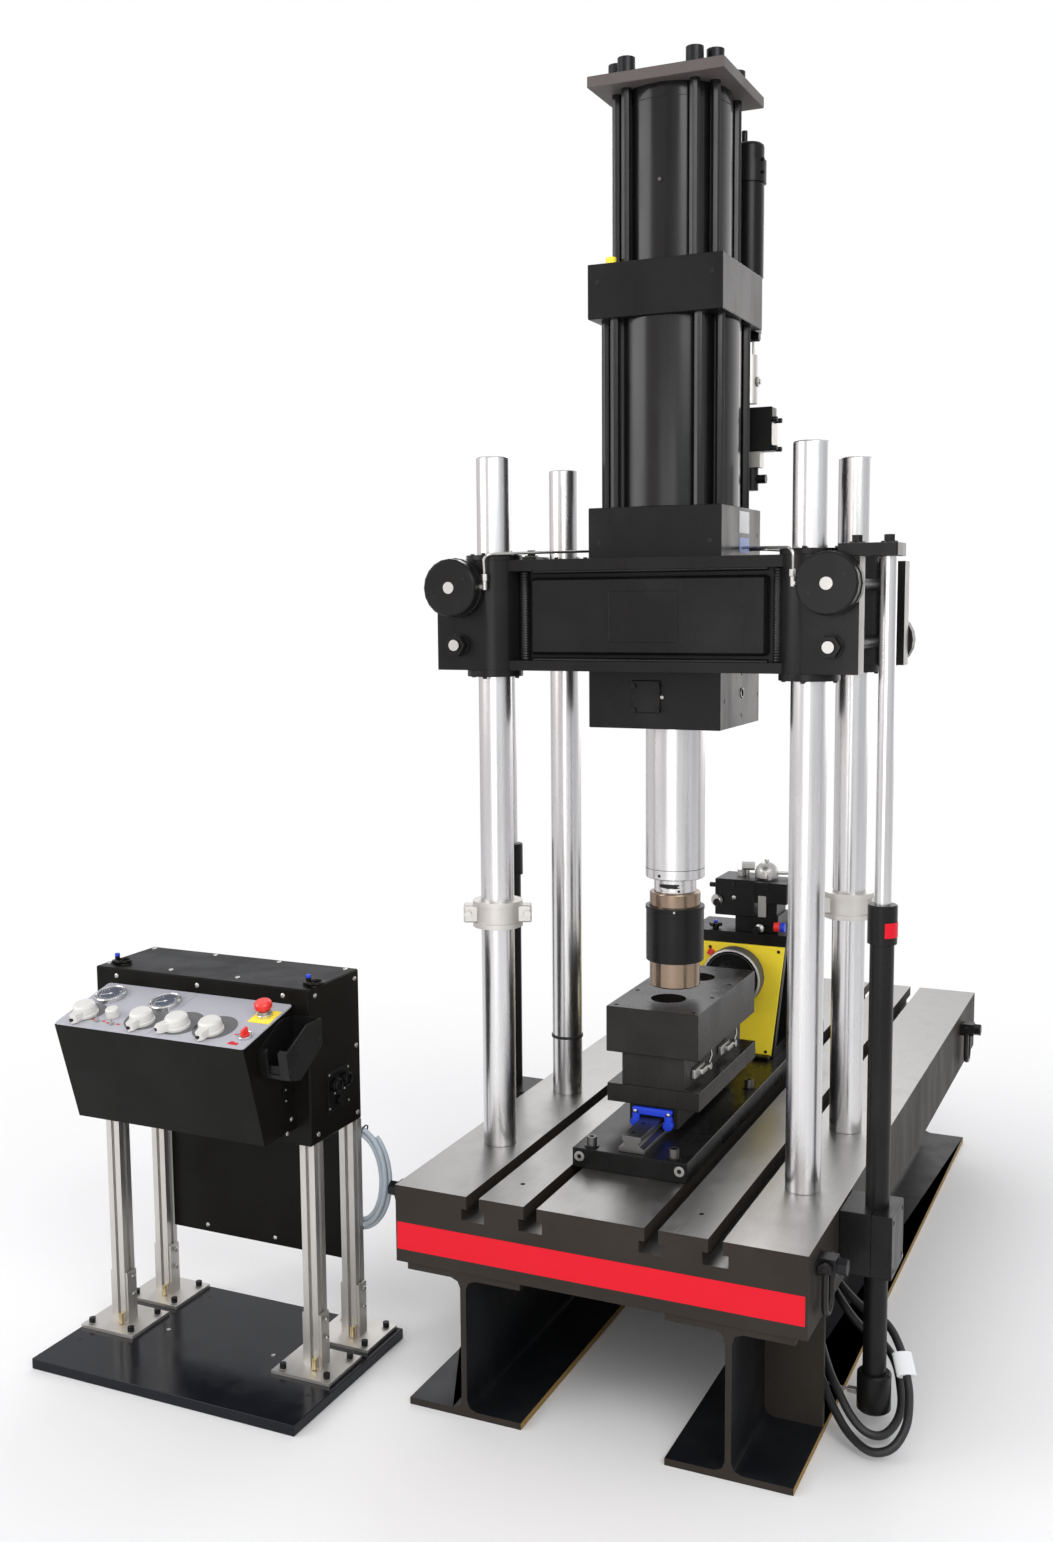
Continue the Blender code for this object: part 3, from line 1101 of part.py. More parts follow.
def build_hydraulics(black, group):
    """Servo valve manifold with its accumulator, on the rear face of the middle block."""
    front = BLOCK_HALF_Y + GAP
    rear = front + MANIFOLD_DEPTH
    top = MIDDLE_TOP - MANIFOLD_UNDER_TOP
    bottom = LOWER_BARREL_TOP - MANIFOLD_DROP
    body = box((MANIFOLD_LEFT, front, bottom), (MANIFOLD_RIGHT, rear, top), EDGE)
    servo_low = bottom + SERVO_BOTTOM_UP
    servo = box((MANIFOLD_RIGHT - BITE, front + SERVO_INSET, servo_low),
                (MANIFOLD_RIGHT + SERVO_REACH, rear - SERVO_INSET, servo_low + SERVO_HEIGHT), EDGE)
    middle = (front + rear) / 2
    plug_x = MANIFOLD_RIGHT + SERVO_PLUG_CENTRE
    rest = box((MANIFOLD_RIGHT + SERVO_REST_LEFT, middle - SERVO_PLUG_RADIUS, servo_low - SERVO_REST_DROP - BITE),
               (MANIFOLD_RIGHT + SERVO_REST_RIGHT, middle + SERVO_PLUG_RADIUS, servo_low + BITE))
    plug = rod((plug_x, middle, 0), "Z", servo_low - SERVO_PLUG_DROP, servo_low - SERVO_REST_DROP,
               SERVO_PLUG_RADIUS, SMALL_SIDES)
    elbow = rod((0, middle, servo_low - SERVO_PLUG_DROP + SERVO_ELBOW_UP), "X", plug_x,
                MANIFOLD_RIGHT + SERVO_ELBOW_REACH, SERVO_ELBOW_RADIUS, SMALL_SIDES)
    valve = rod((MANIFOLD_RIGHT + VALVE_RADIUS, middle, 0), "Z", bottom + VALVE_LOW,
                bottom + VALVE_LOW + VALVE_HEIGHT, VALVE_RADIUS + 0.002, SMALL_SIDES)

    low = top - BITE
    high = low + ACCUMULATOR_HEIGHT
    dome = [(ACCUMULATOR_RADIUS - ACCUMULATOR_FILLET + u, high - ACCUMULATOR_FILLET + v)
            for u, v in arc((0.0, 0.0), ACCUMULATOR_FILLET, 0, 90, 3)]
    band = high - CLAMP_BAND_BELOW_TOP
    bottle = turned([(ACCUMULATOR_NECK_RADIUS, low), (ACCUMULATOR_NECK_RADIUS, low + ACCUMULATOR_NECK_HEIGHT),
                     (ACCUMULATOR_RADIUS - ACCUMULATOR_SHOULDER, low + ACCUMULATOR_NECK_HEIGHT),
                     (ACCUMULATOR_RADIUS, low + ACCUMULATOR_NECK_HEIGHT + ACCUMULATOR_SHOULDER),
                     (ACCUMULATOR_RADIUS, band - CLAMP_BAND_HEIGHT), (CLAMP_BAND_RADIUS, band - CLAMP_BAND_HEIGHT),
                     (CLAMP_BAND_RADIUS, band), (ACCUMULATOR_RADIUS, band)] + dome,
                    (ACCUMULATOR_X, BLOCK_HALF_Y + ACCUMULATOR_BACK, 0))
    seat = box((MANIFOLD_RIGHT - 2 * BITE, front, MIDDLE_TOP - MIDDLE_HEIGHT),
               (ACCUMULATOR_X + ACCUMULATOR_RADIUS, rear, top))
    manifold = joined(body, servo, rest, plug, elbow, valve, seat, bottle)
    piece("servo_valve_manifold", manifold, black, group)


def rail_outline():
    """Section of the profiled guide rail."""
    low = BASE_PLATE_TOP + GAP
    right = [(RAIL_FOOT_HALF, low), (RAIL_FOOT_HALF, low + RAIL_FOOT_HEIGHT * 0.6),
             (RAIL_WAIST_HALF, low + RAIL_FOOT_HEIGHT), (RAIL_WAIST_HALF, low + RAIL_WAIST_HEIGHT),
             (RAIL_TOP_HALF, low + RAIL_HEAD_HEIGHT), (RAIL_TOP_HALF, low + RAIL_HEIGHT)]
    left = [(-x, z) for x, z in reversed(right)]
    return [(FIXTURE_X + x, z) for x, z in right + left]


def build_fixture_base(black, steel):
    """The base plate bolted to the table and the guide rail on it."""
    rear = BASE_PLATE_FRONT + BASE_PLATE_LENGTH
    plate = box((FIXTURE_X - BASE_PLATE_HALF, BASE_PLATE_FRONT, TABLE_TOP + GAP),
                (FIXTURE_X + BASE_PLATE_HALF, rear, BASE_PLATE_TOP), EDGE_SMALL)
    bolts, sockets = [], []
    places = [(side * BASE_BOLT_X, BASE_BOLT_FROM_FRONT) for side in (-1, 1)]
    places += [(side * BASE_REAR_BOLT_X, BASE_REAR_BOLT_FROM_FRONT) for side in (-1, 1)]
    for x, back in places:
        foot = (FIXTURE_X + x, BASE_PLATE_FRONT + back, 0)
        top = BASE_PLATE_TOP + BASE_WASHER_THICKNESS + BASE_BOLT_HEIGHT
        bolts.append(rod(foot, "Z", BASE_PLATE_TOP - BITE, BASE_PLATE_TOP + BASE_WASHER_THICKNESS,
                         BASE_WASHER_RADIUS, SMALL_SIDES))
        bolts.append(rod(foot, "Z", BASE_PLATE_TOP, top, BASE_BOLT_RADIUS, SMALL_SIDES))
        sockets.append(hexagon(foot, "Z", top - BASE_BOLT_SOCKET, top + BITE, BASE_BOLT_RADIUS))
    piece("shear_base_plate", cut(joined(plate, *bolts), *sockets), black)

    start = BASE_PLATE_FRONT + RAIL_FROM_FRONT
    piece("shear_guide_rail", prism(rail_outline(), "Y", start, start + RAIL_LENGTH), steel)


def build_shear_box(dark, black, ring_steel, group):
    """The sliding half: carriage with its plate, the specimen block and the load ring on its thrust rod."""
    low = BASE_PLATE_TOP + CARRIAGE_LIFT
    floor = BASE_PLATE_TOP + GAP + RAIL_HEIGHT + RUNNING_GAP
    inner = RAIL_TOP_HALF + RUNNING_GAP
    foot_half = RAIL_FOOT_HALF + RUNNING_GAP
    foot_top = BASE_PLATE_TOP + GAP + RAIL_FOOT_HEIGHT + RUNNING_GAP
    half = [(inner, floor), (inner, foot_top), (foot_half, foot_top), (foot_half, low), (CARRIAGE_HALF, low),
            (CARRIAGE_HALF, SHEAR_PLATE_BOTTOM + BITE)]
    outline = [(FIXTURE_X + x, z) for x, z in half] + [(FIXTURE_X - x, z) for x, z in reversed(half)]
    carriage = prism(outline, "Y", CARRIAGE_FRONT, CARRIAGE_FRONT + CARRIAGE_LENGTH)
    plate = box((FIXTURE_X - SHEAR_PLATE_HALF, SHEAR_PLATE_FRONT, SHEAR_PLATE_BOTTOM),
                (FIXTURE_X + SHEAR_PLATE_HALF, SHEAR_PLATE_FRONT + SHEAR_PLATE_LENGTH, SHEAR_PLATE_TOP), EDGE_FINE)
    piece("shear_carriage", joined(plate, carriage), dark, group)

    neck = box((FIXTURE_X - SHEAR_NECK_HALF, SHEAR_NECK_FRONT, SHEAR_PLATE_TOP + GAP),
               (FIXTURE_X + SHEAR_NECK_HALF, SHEAR_NECK_FRONT + SHEAR_NECK_LENGTH, SHEAR_NECK_TOP + BITE))
    head = box((FIXTURE_X - SHEAR_HEAD_HALF, SHEAR_HEAD_FRONT, SHEAR_NECK_TOP),
               (FIXTURE_X + SHEAR_HEAD_HALF, SHEAR_HEAD_REAR, SHEAR_HEAD_TOP), EDGE_SMALL)
    holes = [rod((FIXTURE_X, y, 0), "Z", SHEAR_HEAD_TOP - SPECIMEN_BORE_DEPTH, SHEAR_HEAD_TOP + BITE,
                 SPECIMEN_BORE_RADIUS, SIDES) for y in SPECIMEN_BORES_Y]
    for side in (-1, 1):
        for y in SHEAR_HOLES_Y:
            holes.append(rod((FIXTURE_X + side * SHEAR_HOLE_X, y, 0), "Z", SHEAR_HEAD_TOP - SHEAR_HOLE_DEPTH,
                             SHEAR_HEAD_TOP + BITE, SHEAR_HOLE_RADIUS, TINY_SIDES))
    piece("shear_block", cut(joined(head, neck), *holes), dark, group)

    foot = (FIXTURE_X, 0, THRUST_Z)
    face = LOAD_RING_FRONT
    recess = face + LOAD_RING_RECESS
    inner = LOAD_RING_RADIUS - LOAD_RING_RIM
    ring = turned([(THRUST_ROD_RADIUS, SHEAR_HEAD_REAR + GAP), (THRUST_ROD_RADIUS, recess), (inner, recess),
                   (inner, face), (LOAD_RING_RADIUS - EDGE_ROUND, face), (LOAD_RING_RADIUS, face + EDGE_ROUND),
                   (LOAD_RING_RADIUS, LOAD_RING_REAR - EDGE_ROUND), (LOAD_RING_RADIUS - EDGE_ROUND, LOAD_RING_REAR),
                   (TAIL_ROD_RADIUS, LOAD_RING_REAR), (TAIL_ROD_RADIUS, LOAD_RING_REAR + TAIL_ROD_LENGTH)],
                  foot, "Y", FINE_SIDES)
    piece("load_ring", ring, ring_steel, group)


def build_thrust_bracket(black, yellow):
    """Yellow guard plate, the open bracket behind it, the horizontal ram and its valve manifold."""
    foot = (FIXTURE_X, 0, THRUST_Z)
    low = BASE_PLATE_TOP + GUARD_LIFT
    outline = [(FIXTURE_X - GUARD_BOTTOM_HALF, low), (FIXTURE_X + GUARD_BOTTOM_HALF, low),
               (FIXTURE_X + GUARD_TOP_HALF, low + GUARD_HEIGHT), (FIXTURE_X - GUARD_TOP_HALF, low + GUARD_HEIGHT)]
    guard = prism(outline, "Y", GUARD_FRONT, GUARD_FRONT + GUARD_THICKNESS)
    hole = rod(foot, "Y", GUARD_FRONT - BITE, GUARD_FRONT + GUARD_THICKNESS + BITE, GUARD_HOLE_RADIUS)
    piece("shear_guard_plate", cut(guard, hole), yellow)

    low = BASE_PLATE_TOP + GAP
    outer = [(FIXTURE_X - BRACKET_FOOT_HALF, low), (FIXTURE_X + BRACKET_FOOT_HALF, low),
             (FIXTURE_X + BRACKET_TOP_HALF, BRACKET_TOP), (FIXTURE_X - BRACKET_TOP_HALF, BRACKET_TOP)]
    bracket = prism(outer, "Y", BRACKET_FRONT, BRACKET_REAR)
    feet = box((FIXTURE_X - BASE_PLATE_HALF + BITE, BRACKET_REAR - BITE, low),
               (FIXTURE_X + BASE_PLATE_HALF - BITE, BRACKET_REAR + BRACKET_FLANGE_DEPTH,
                low + BRACKET_FLANGE_HEIGHT))
    front, rear = BRACKET_FRONT + BRACKET_WALL, BRACKET_REAR - BRACKET_WALL
    window_low = low + BRACKET_FLANGE_HEIGHT
    window_high = BRACKET_TOP - BRACKET_TOP_THICKNESS
    window = box((-TABLE_HALF, front, window_low), (TABLE_HALF, rear, window_high))
    way = rod(foot, "Y", BRACKET_FRONT - BITE, BRACKET_REAR + BITE, TAIL_ROD_RADIUS + RUNNING_GAP, FINE_SIDES)
    web = box((FIXTURE_X - BRACKET_WALL / 2, front - BITE, window_low - BITE),
              (FIXTURE_X + BRACKET_WALL / 2, rear + BITE, window_high + BITE))
    bracket = cut(joined(cut(bracket, window), web, feet), way)
    piece("thrust_bracket", bracket, black)

    start = BRACKET_REAR + GAP
    flange_end = start + RAM_FLANGE_DEPTH
    barrel_end = flange_end + RAM_BARREL_LENGTH
    flange = centred_box((FIXTURE_X, (start + flange_end) / 2, THRUST_Z),
                         (RAM_FLANGE_HALF, RAM_FLANGE_DEPTH / 2, RAM_FLANGE_HALF), EDGE)
    cap = centred_box((FIXTURE_X, barrel_end + RAM_CAP_DEPTH / 2, THRUST_Z),
                      (RAM_FLANGE_HALF, RAM_CAP_DEPTH / 2, RAM_FLANGE_HALF), EDGE)
    shapes = [rod(foot, "Y", flange_end - BITE, barrel_end + BITE, RAM_RADIUS), cap]
    for sx in (-1, 1):
        for sz in (-1, 1):
            place = (FIXTURE_X + sx * RAM_TIE_OFFSET, 0, THRUST_Z + sz * RAM_TIE_OFFSET)
            shapes.append(rod(place, "Y", flange_end - BITE, barrel_end + BITE, RAM_TIE_RADIUS, TINY_SIDES))
    bore = rod(foot, "Y", start - BITE, start + RAM_BORE_LENGTH, TAIL_ROD_RADIUS + RUNNING_GAP, FINE_SIDES)
    piece("shear_ram", cut(joined(flange, *shapes), bore), black)

    low = BRACKET_TOP + GAP
    body_low = low + VALVE_BLOCK_HEIGHT
    body_high = body_low + VALVE_BODY_HEIGHT
    plate_low = body_high - VALVE_PLATE_THICKNESS
    rear = VALVE_FRONT + VALVE_BODY_DEPTH
    body = box((FIXTURE_X + VALVE_BODY_LEFT, VALVE_FRONT, body_low),
               (FIXTURE_X + VALVE_BODY_RIGHT, rear, body_high), EDGE)
    foot_block = box((FIXTURE_X - VALVE_FOOT_LEFT, VALVE_FRONT + 2 * VALVE_STEP, low),
                     (FIXTURE_X + VALVE_FOOT_RIGHT, rear - 2 * VALVE_STEP, body_low + VALVE_STEP))
    plate = box((FIXTURE_X + VALVE_BODY_RIGHT - VALVE_STEP, VALVE_FRONT + VALVE_STEP, plate_low),
                (FIXTURE_X + VALVE_PLATE_RIGHT, rear - VALVE_STEP, body_high - VALVE_STEP), EDGE_FINE)
    link = box((FIXTURE_X + VALVE_FOOT_RIGHT - VALVE_LINK_WIDTH, VALVE_FRONT + 3 * VALVE_STEP,
                body_low - VALVE_STEP),
               (FIXTURE_X + VALVE_FOOT_RIGHT - VALVE_STEP, rear - 3 * VALVE_STEP, plate_low + VALVE_STEP))
    knobs = []
    for x, z in ((FIXTURE_X + VALVE_BODY_LEFT + VALVE_KNOB_RADIUS, body_low + VALVE_KNOB_UP),
                 (FIXTURE_X + VALVE_FOOT_RIGHT / 2, low + VALVE_KNOB_RADIUS)):
        knobs.append(rod((x, 0, z), "Y", VALVE_FRONT - VALVE_KNOB_LENGTH, VALVE_FRONT + 3 * VALVE_STEP,
                         VALVE_KNOB_RADIUS, SMALL_SIDES))
    stem = rod((FIXTURE_X - VALVE_FOOT_LEFT, (VALVE_FRONT + rear) / 2, 0), "Z", body_high - VALVE_STEP,
               body_high + VALVE_KNOB_LENGTH, VALVE_KNOB_RADIUS, SMALL_SIDES)
    manifold = joined(body, foot_block, plate, link, stem, *knobs)
    piece("shear_valve_manifold", manifold, black)


def profile_outline(x, y):
    """Section of an aluminium extrusion with a slot in each side."""
    half, mouth = PROFILE_HALF, PROFILE_MOUTH
    side = [(half, -half), (half, -mouth), (half - PROFILE_LIP, -mouth), (half - PROFILE_LIP, -PROFILE_CAVITY),
            (half - PROFILE_SLOT_DEPTH, -PROFILE_SLOT_FLOOR), (half - PROFILE_SLOT_DEPTH, PROFILE_SLOT_FLOOR),
            (half - PROFILE_LIP, PROFILE_CAVITY), (half - PROFILE_LIP, mouth), (half, mouth)]
    points = []
    for turn in range(4):
        for u, v in side:
            for _ in range(turn):
                u, v = -v, u
            points.append((x + u, y + v))
    return points


def console_leg(side, y):
    """One leg: slotted profile on a bolted foot plate, held by two side tabs."""
    x = CONSOLE_X + side * LEG_X
    plate_top = LEG_BOTTOM + FOOT_PLATE_THICKNESS
    leg = prism(profile_outline(x, y), "Z", plate_top - BITE, CABINET_BOTTOM - GAP)
    low_x, high_x = sorted((x + side * FOOT_PLATE_OUT, x - side * FOOT_PLATE_IN))
    plate = box((low_x, y - FOOT_PLATE_HALF_DEPTH, LEG_BOTTOM), (high_x, y + FOOT_PLATE_HALF_DEPTH, plate_top))
    shapes = []
    for sx in (-1, 1):
        near, far = sorted((x + sx * (PROFILE_HALF - BITE / 2), x + sx * (PROFILE_HALF + TAB_THICKNESS)))
        shapes.append(box((near, y - TAB_HALF, plate_top - BITE), (far, y + TAB_HALF, plate_top + TAB_HEIGHT)))
        for sy in (-1, 1):
            foot = (x + sx * FOOT_BOLT_X, y + sy * FOOT_BOLT_Y, 0)
            shapes.append(rod(foot, "Z", plate_top - BITE, plate_top + FOOT_BOLT_HEIGHT, FOOT_BOLT_RADIUS,
                              TINY_SIDES))
    return joined(plate, leg, *shapes)


def build_console_stand(black, alloy):
    """The console's base plate and its four legs."""
    base = box((CONSOLE_BASE_CENTRE - CONSOLE_BASE_HALF, CONSOLE_BASE_FRONT, 0),
               (CONSOLE_BASE_RIGHT, CONSOLE_BASE_FRONT + CONSOLE_BASE_DEPTH, CONSOLE_BASE_THICKNESS),
               CONSOLE_BASE_EDGE)
    piece("console_base_plate", base, black)
    for end, y in (("front", LEG_FRONT_Y), ("rear", LEG_REAR_Y)):
        for name, side in (("left", -1), ("right", 1)):
            piece(f"console_leg_{end}_{name}", console_leg(side, y), alloy)


def panel_place(x, down, turn=0.0):
    """Frame on the panel's face: x across, y up the slope and z out of the panel."""
    tilt = Matrix.Rotation(PANEL_TILT, 4, "X")
    corner = Matrix.Translation((CONSOLE_X, CABINET_FRONT, PANEL_BACK_Z))
    return corner @ tilt @ Matrix.Translation((x, -down, 0)) @ Matrix.Rotation(math.radians(turn), 4, "Z")


def build_cabinet(black):
    """The cabinet with its sloping housing, a rear panel below it and two hoist eyes on top."""
    cabinet = box((CONSOLE_X - CABINET_HALF, CABINET_FRONT, CABINET_BOTTOM),
                  (CONSOLE_X + CABINET_HALF, CABINET_REAR, CABINET_TOP), CABINET_EDGE)
    drop = (PANEL_THICKNESS + GAP) / math.cos(PANEL_TILT)
    nose_y = CABINET_FRONT - PANEL_DEPTH * math.cos(PANEL_TILT)
    nose_z = PANEL_BACK_Z - PANEL_DEPTH * math.sin(PANEL_TILT) - drop
    back_z = PANEL_BACK_Z - drop + BITE * math.tan(PANEL_TILT)
    outline = [(CABINET_FRONT + BITE, HOUSING_TOE_Z), (CABINET_FRONT + BITE, back_z), (nose_y, nose_z),
               (HOUSING_TOE_Y, HOUSING_TOE_Z)]
    housing = prism(outline, "X", CONSOLE_X - HOUSING_HALF, CONSOLE_X + HOUSING_HALF)
    eyes = []
    for side in (-1, 1):
        x = CONSOLE_X + side * (CABINET_HALF - EYE_INSET_X)
        y = CABINET_FRONT + EYE_INSET_Y
        foot = (x, y, CABINET_TOP)
        eyes.append(turned([(EYE_BASE_RADIUS, -BITE), (EYE_BASE_RADIUS, EYE_BASE_HEIGHT),
                            (EYE_STEM_RADIUS, EYE_BASE_HEIGHT), (EYE_STEM_RADIUS, EYE_STEM_HEIGHT)], foot,
                           sides=SMALL_SIDES))
        bar = [(EYE_RING_RADIUS + u, v) for u, v in arc((0, 0), EYE_RING_BAR, 0, 315, 7)]
        eyes.append(turned(bar, (x + EYE_RING_OFFSET, y, CABINET_TOP + EYE_RING_BAR + EYE_BASE_HEIGHT / 4),
                           sides=SMALL_SIDES, hollow=True))
    rear = CABINET_REAR - REAR_PANEL_IN
    panel = box((CONSOLE_X - REAR_PANEL_HALF, rear - REAR_PANEL_THICKNESS, REAR_PANEL_BOTTOM),
                (CONSOLE_X + REAR_PANEL_HALF, rear, CABINET_BOTTOM + BITE))
    piece("console_cabinet", joined(cabinet, housing, panel, *eyes), black)


def build_control_panel(grey):
    """The sloping panel plate with gauges, toggles and the collars of its buttons."""
    outline = rounded_rectangle(-HOUSING_HALF, HOUSING_HALF, -PANEL_DEPTH, -PANEL_SET_BACK, PANEL_CORNER)
    plate = prism(outline, "Z", -PANEL_THICKNESS, 0.0)
    shapes = []
    for x, down in GAUGES:
        rim = GAUGE_RADIUS - GAUGE_RIM
        gauge = turned([(GAUGE_RADIUS, -BITE), (GAUGE_RADIUS, GAUGE_HEIGHT - EDGE),
                        (GAUGE_RADIUS - EDGE, GAUGE_HEIGHT), (rim, GAUGE_HEIGHT),
                        (rim, GAUGE_HEIGHT - GAUGE_RECESS)], (x, -down, 0))
        shapes.append(gauge)
    for x, down in TOGGLES:
        shapes.append(turned([(TOGGLE_RADIUS, -BITE), (TOGGLE_RADIUS, TOGGLE_HEIGHT),
                              (TOGGLE_STEM_RADIUS, TOGGLE_HEIGHT), (TOGGLE_STEM_RADIUS, TOGGLE_STEM_HEIGHT)],
                             (x, -down, 0), sides=TINY_SIDES))
    x, down = STOP_BUTTON
    inner = STOP_STEM_RADIUS + RUNNING_GAP
    shapes.append(turned([(STOP_COLLAR_RADIUS, -BITE), (STOP_COLLAR_RADIUS, STOP_COLLAR_HEIGHT),
                          (inner, STOP_COLLAR_HEIGHT), (inner, -BITE)], (x, -down, 0), sides=SMALL_SIDES,
                         hollow=True))
    x, down = SELECTOR
    inner = SELECTOR_RADIUS + RUNNING_GAP
    shapes.append(turned([(SELECTOR_RING_RADIUS, -BITE), (SELECTOR_RING_RADIUS, SELECTOR_RING_HEIGHT),
                          (inner, SELECTOR_RING_HEIGHT), (inner, -BITE)], (x, -down, 0), sides=SMALL_SIDES,
                         hollow=True))
    panel = joined(plate, *shapes)
    piece("control_panel", placed(panel, panel_place(0, 0)), grey)


def beak_knob():
    """A pointer knob: a domed hub with a grip ridge that runs out into a tapering beak."""
    hub = turned([(KNOB_SKIRT_RADIUS, GAP), (KNOB_SKIRT_RADIUS, KNOB_SKIRT_HEIGHT),
                  (KNOB_HUB_RADIUS, KNOB_SKIRT_HEIGHT + 0.002), (KNOB_HUB_RADIUS * 0.94, KNOB_HEIGHT - 0.006),
                  (KNOB_HUB_RADIUS * 0.78, KNOB_HEIGHT - 0.0015), (KNOB_HUB_RADIUS * 0.45, KNOB_HEIGHT)],
                 sides=16)
    tip = (0.0, -KNOB_BEAK_REACH + KNOB_BEAK_HALF)
    outline = [(-KNOB_GRIP_HALF, 0.0)]
    outline += arc(tip, KNOB_BEAK_HALF, 190, 350)
    outline += [(KNOB_GRIP_HALF, 0.0)]
    beak = prism(outline, "Z", KNOB_BEAK_DROP, KNOB_BEAK_HEIGHT)
    eye = rod((0, 0, KNOB_BEAK_HEIGHT / 2), "Y", -KNOB_BEAK_REACH - BITE, -KNOB_BEAK_REACH + KNOB_EYE_DEPTH,
              KNOB_EYE_RADIUS, TINY_SIDES)
    return cut(joined(hub, beak), eye)


def build_controls(ivory, red):
    """Knobs, selector and emergency stop on the control panel."""
    for name, x, down, turn in KNOBS:
        frame = panel_place(x, down, turn)
        piece(name, placed(beak_knob(), frame), ivory, origin=frame.translation)

    frame = panel_place(*TRIM_KNOB)
    trim = turned([(TRIM_KNOB_RADIUS, GAP), (TRIM_KNOB_RADIUS, TRIM_KNOB_HEIGHT - TRIM_KNOB_RIM),
                   (TRIM_KNOB_RADIUS - TRIM_KNOB_RIM, TRIM_KNOB_HEIGHT)], sides=SMALL_SIDES)
    piece("trim_knob", placed(trim, frame), ivory, origin=frame.translation)

    frame = panel_place(*SELECTOR)
    shaft = turned([(SELECTOR_RADIUS, GAP), (SELECTOR_RADIUS, SELECTOR_RING_HEIGHT + 0.004)], sides=SMALL_SIDES)
    grip = box((-SELECTOR_GRIP_HALF, -SELECTOR_RADIUS, SELECTOR_RING_HEIGHT),
               (SELECTOR_GRIP_HALF, SELECTOR_RADIUS, SELECTOR_HEIGHT), EDGE_FINE)
    piece("mode_selector", placed(joined(shaft, grip), frame), red, origin=frame.translation)

    frame = panel_place(*STOP_BUTTON)
    low = STOP_COLLAR_HEIGHT + STOP_HEAD_CLEARANCE
    button = turned([(STOP_STEM_RADIUS, STOP_TRAVEL + BITE), (STOP_STEM_RADIUS, low), (STOP_HEAD_RADIUS, low),
                     (STOP_HEAD_RADIUS, low + STOP_HEAD_HEIGHT * 0.7),
                     (STOP_HEAD_RADIUS * 0.8, low + STOP_HEAD_HEIGHT)], sides=16)
    piece("emergency_stop_button", placed(button, frame), red, origin=frame.translation)


def build_cradle(black):
    """The handset cradle on the housing's right side: an open tray with a notched front wall."""
    inner_x = CONSOLE_X + HOUSING_HALF + GAP
    outer_x = inner_x + CRADLE_REACH
    back = CABINET_FRONT - GAP
    outline = [(back, CRADLE_BACK_BOTTOM), (back, CRADLE_BACK_TOP), (CRADLE_KNEE_Y, CRADLE_BACK_TOP),
               (CRADLE_TIP_Y, CRADLE_TIP_Z), (CRADLE_TOE_Y, CRADLE_TOE_Z), (CRADLE_HEEL_Y, CRADLE_HEEL_Z)]
    tray = prism(outline, "X", inner_x, outer_x)
    high = CRADLE_BACK_TOP + CRADLE_FLOOR
    pocket_outline = [(back - CRADLE_WALL, CRADLE_BACK_BOTTOM + CRADLE_FLOOR), (back - CRADLE_WALL, high),
                      (CRADLE_TIP_Y + CRADLE_WALL, high), (CRADLE_TOE_Y + CRADLE_WALL, CRADLE_TOE_Z + CRADLE_FLOOR),
                      (CRADLE_HEEL_Y, CRADLE_HEEL_Z + CRADLE_FLOOR)]
    pocket = prism(pocket_outline, "X", inner_x + CRADLE_WALL, outer_x - CRADLE_WALL)
    middle = (inner_x + outer_x) / 2
    notch = box((middle - CRADLE_NOTCH_HALF, CRADLE_TIP_Y - CRADLE_WALL, CRADLE_TOE_Z + CRADLE_FLOOR),
                (middle + CRADLE_NOTCH_HALF, CRADLE_TIP_Y + 3 * CRADLE_WALL, high))
    piece("handset_cradle", cut(tray, pocket, notch), black)


def build_coil(grey):
    """The console cable's hank: a closed oval ring against the right rear leg."""
    editor = bmesh.new()
    y = LEG_REAR_Y + PROFILE_HALF + GAP + COIL_BAND_DEPTH
    rings = []
    for step in range(SIDES):
        angle = math.tau * step / SIDES
        ring = []
        for turn in range(COIL_SIDES):
            around = math.tau * turn / COIL_SIDES
            out = COIL_BAND_RADIUS * math.cos(around)
            ring.append(editor.verts.new((COIL_CENTRE_X + (COIL_HALF_WIDTH + out) * math.cos(angle),
                                          y + COIL_BAND_DEPTH * math.sin(around),
                                          COIL_CENTRE_Z + (COIL_HALF_HEIGHT + out) * math.sin(angle))))
        rings.append(ring)
    for lower, upper in zip(rings, rings[1:] + rings[:1]):
        for turn in range(COIL_SIDES):
            after = (turn + 1) % COIL_SIDES
            editor.faces.new((lower[turn], lower[after], upper[after], upper[turn]))
    piece("console_cable_coil", solid_from(editor), grey)


def smooth_route(points, count):
    """Even samples of a smooth curve through hand-placed points."""
    knots = [Vector(point) for point in points]
    ends = [2 * knots[0] - knots[1]] + knots + [2 * knots[-1] - knots[-2]]
    dense = []
    for index in range(1, len(ends) - 2):
        before, start, end, after = ends[index - 1:index + 3]
        for step in range(12):
            t = step / 12
            dense.append(0.5 * ((2 * start) + (end - before) * t + (2 * before - 5 * start + 4 * end - after) * t ** 2
                                + (3 * start - before - 3 * end + after) * t ** 3))
    dense.append(knots[-1])
    lengths = [0.0]
    for first, second in zip(dense, dense[1:]):
        lengths.append(lengths[-1] + (second - first).length)
    samples = []
    index = 0
    for step in range(count):
        target = lengths[-1] * step / (count - 1)
        while index < len(dense) - 2 and lengths[index + 1] < target:
            index += 1
        span = lengths[index + 1] - lengths[index]
        samples.append(dense[index].lerp(dense[index + 1], (target - lengths[index]) / span))
    return samples


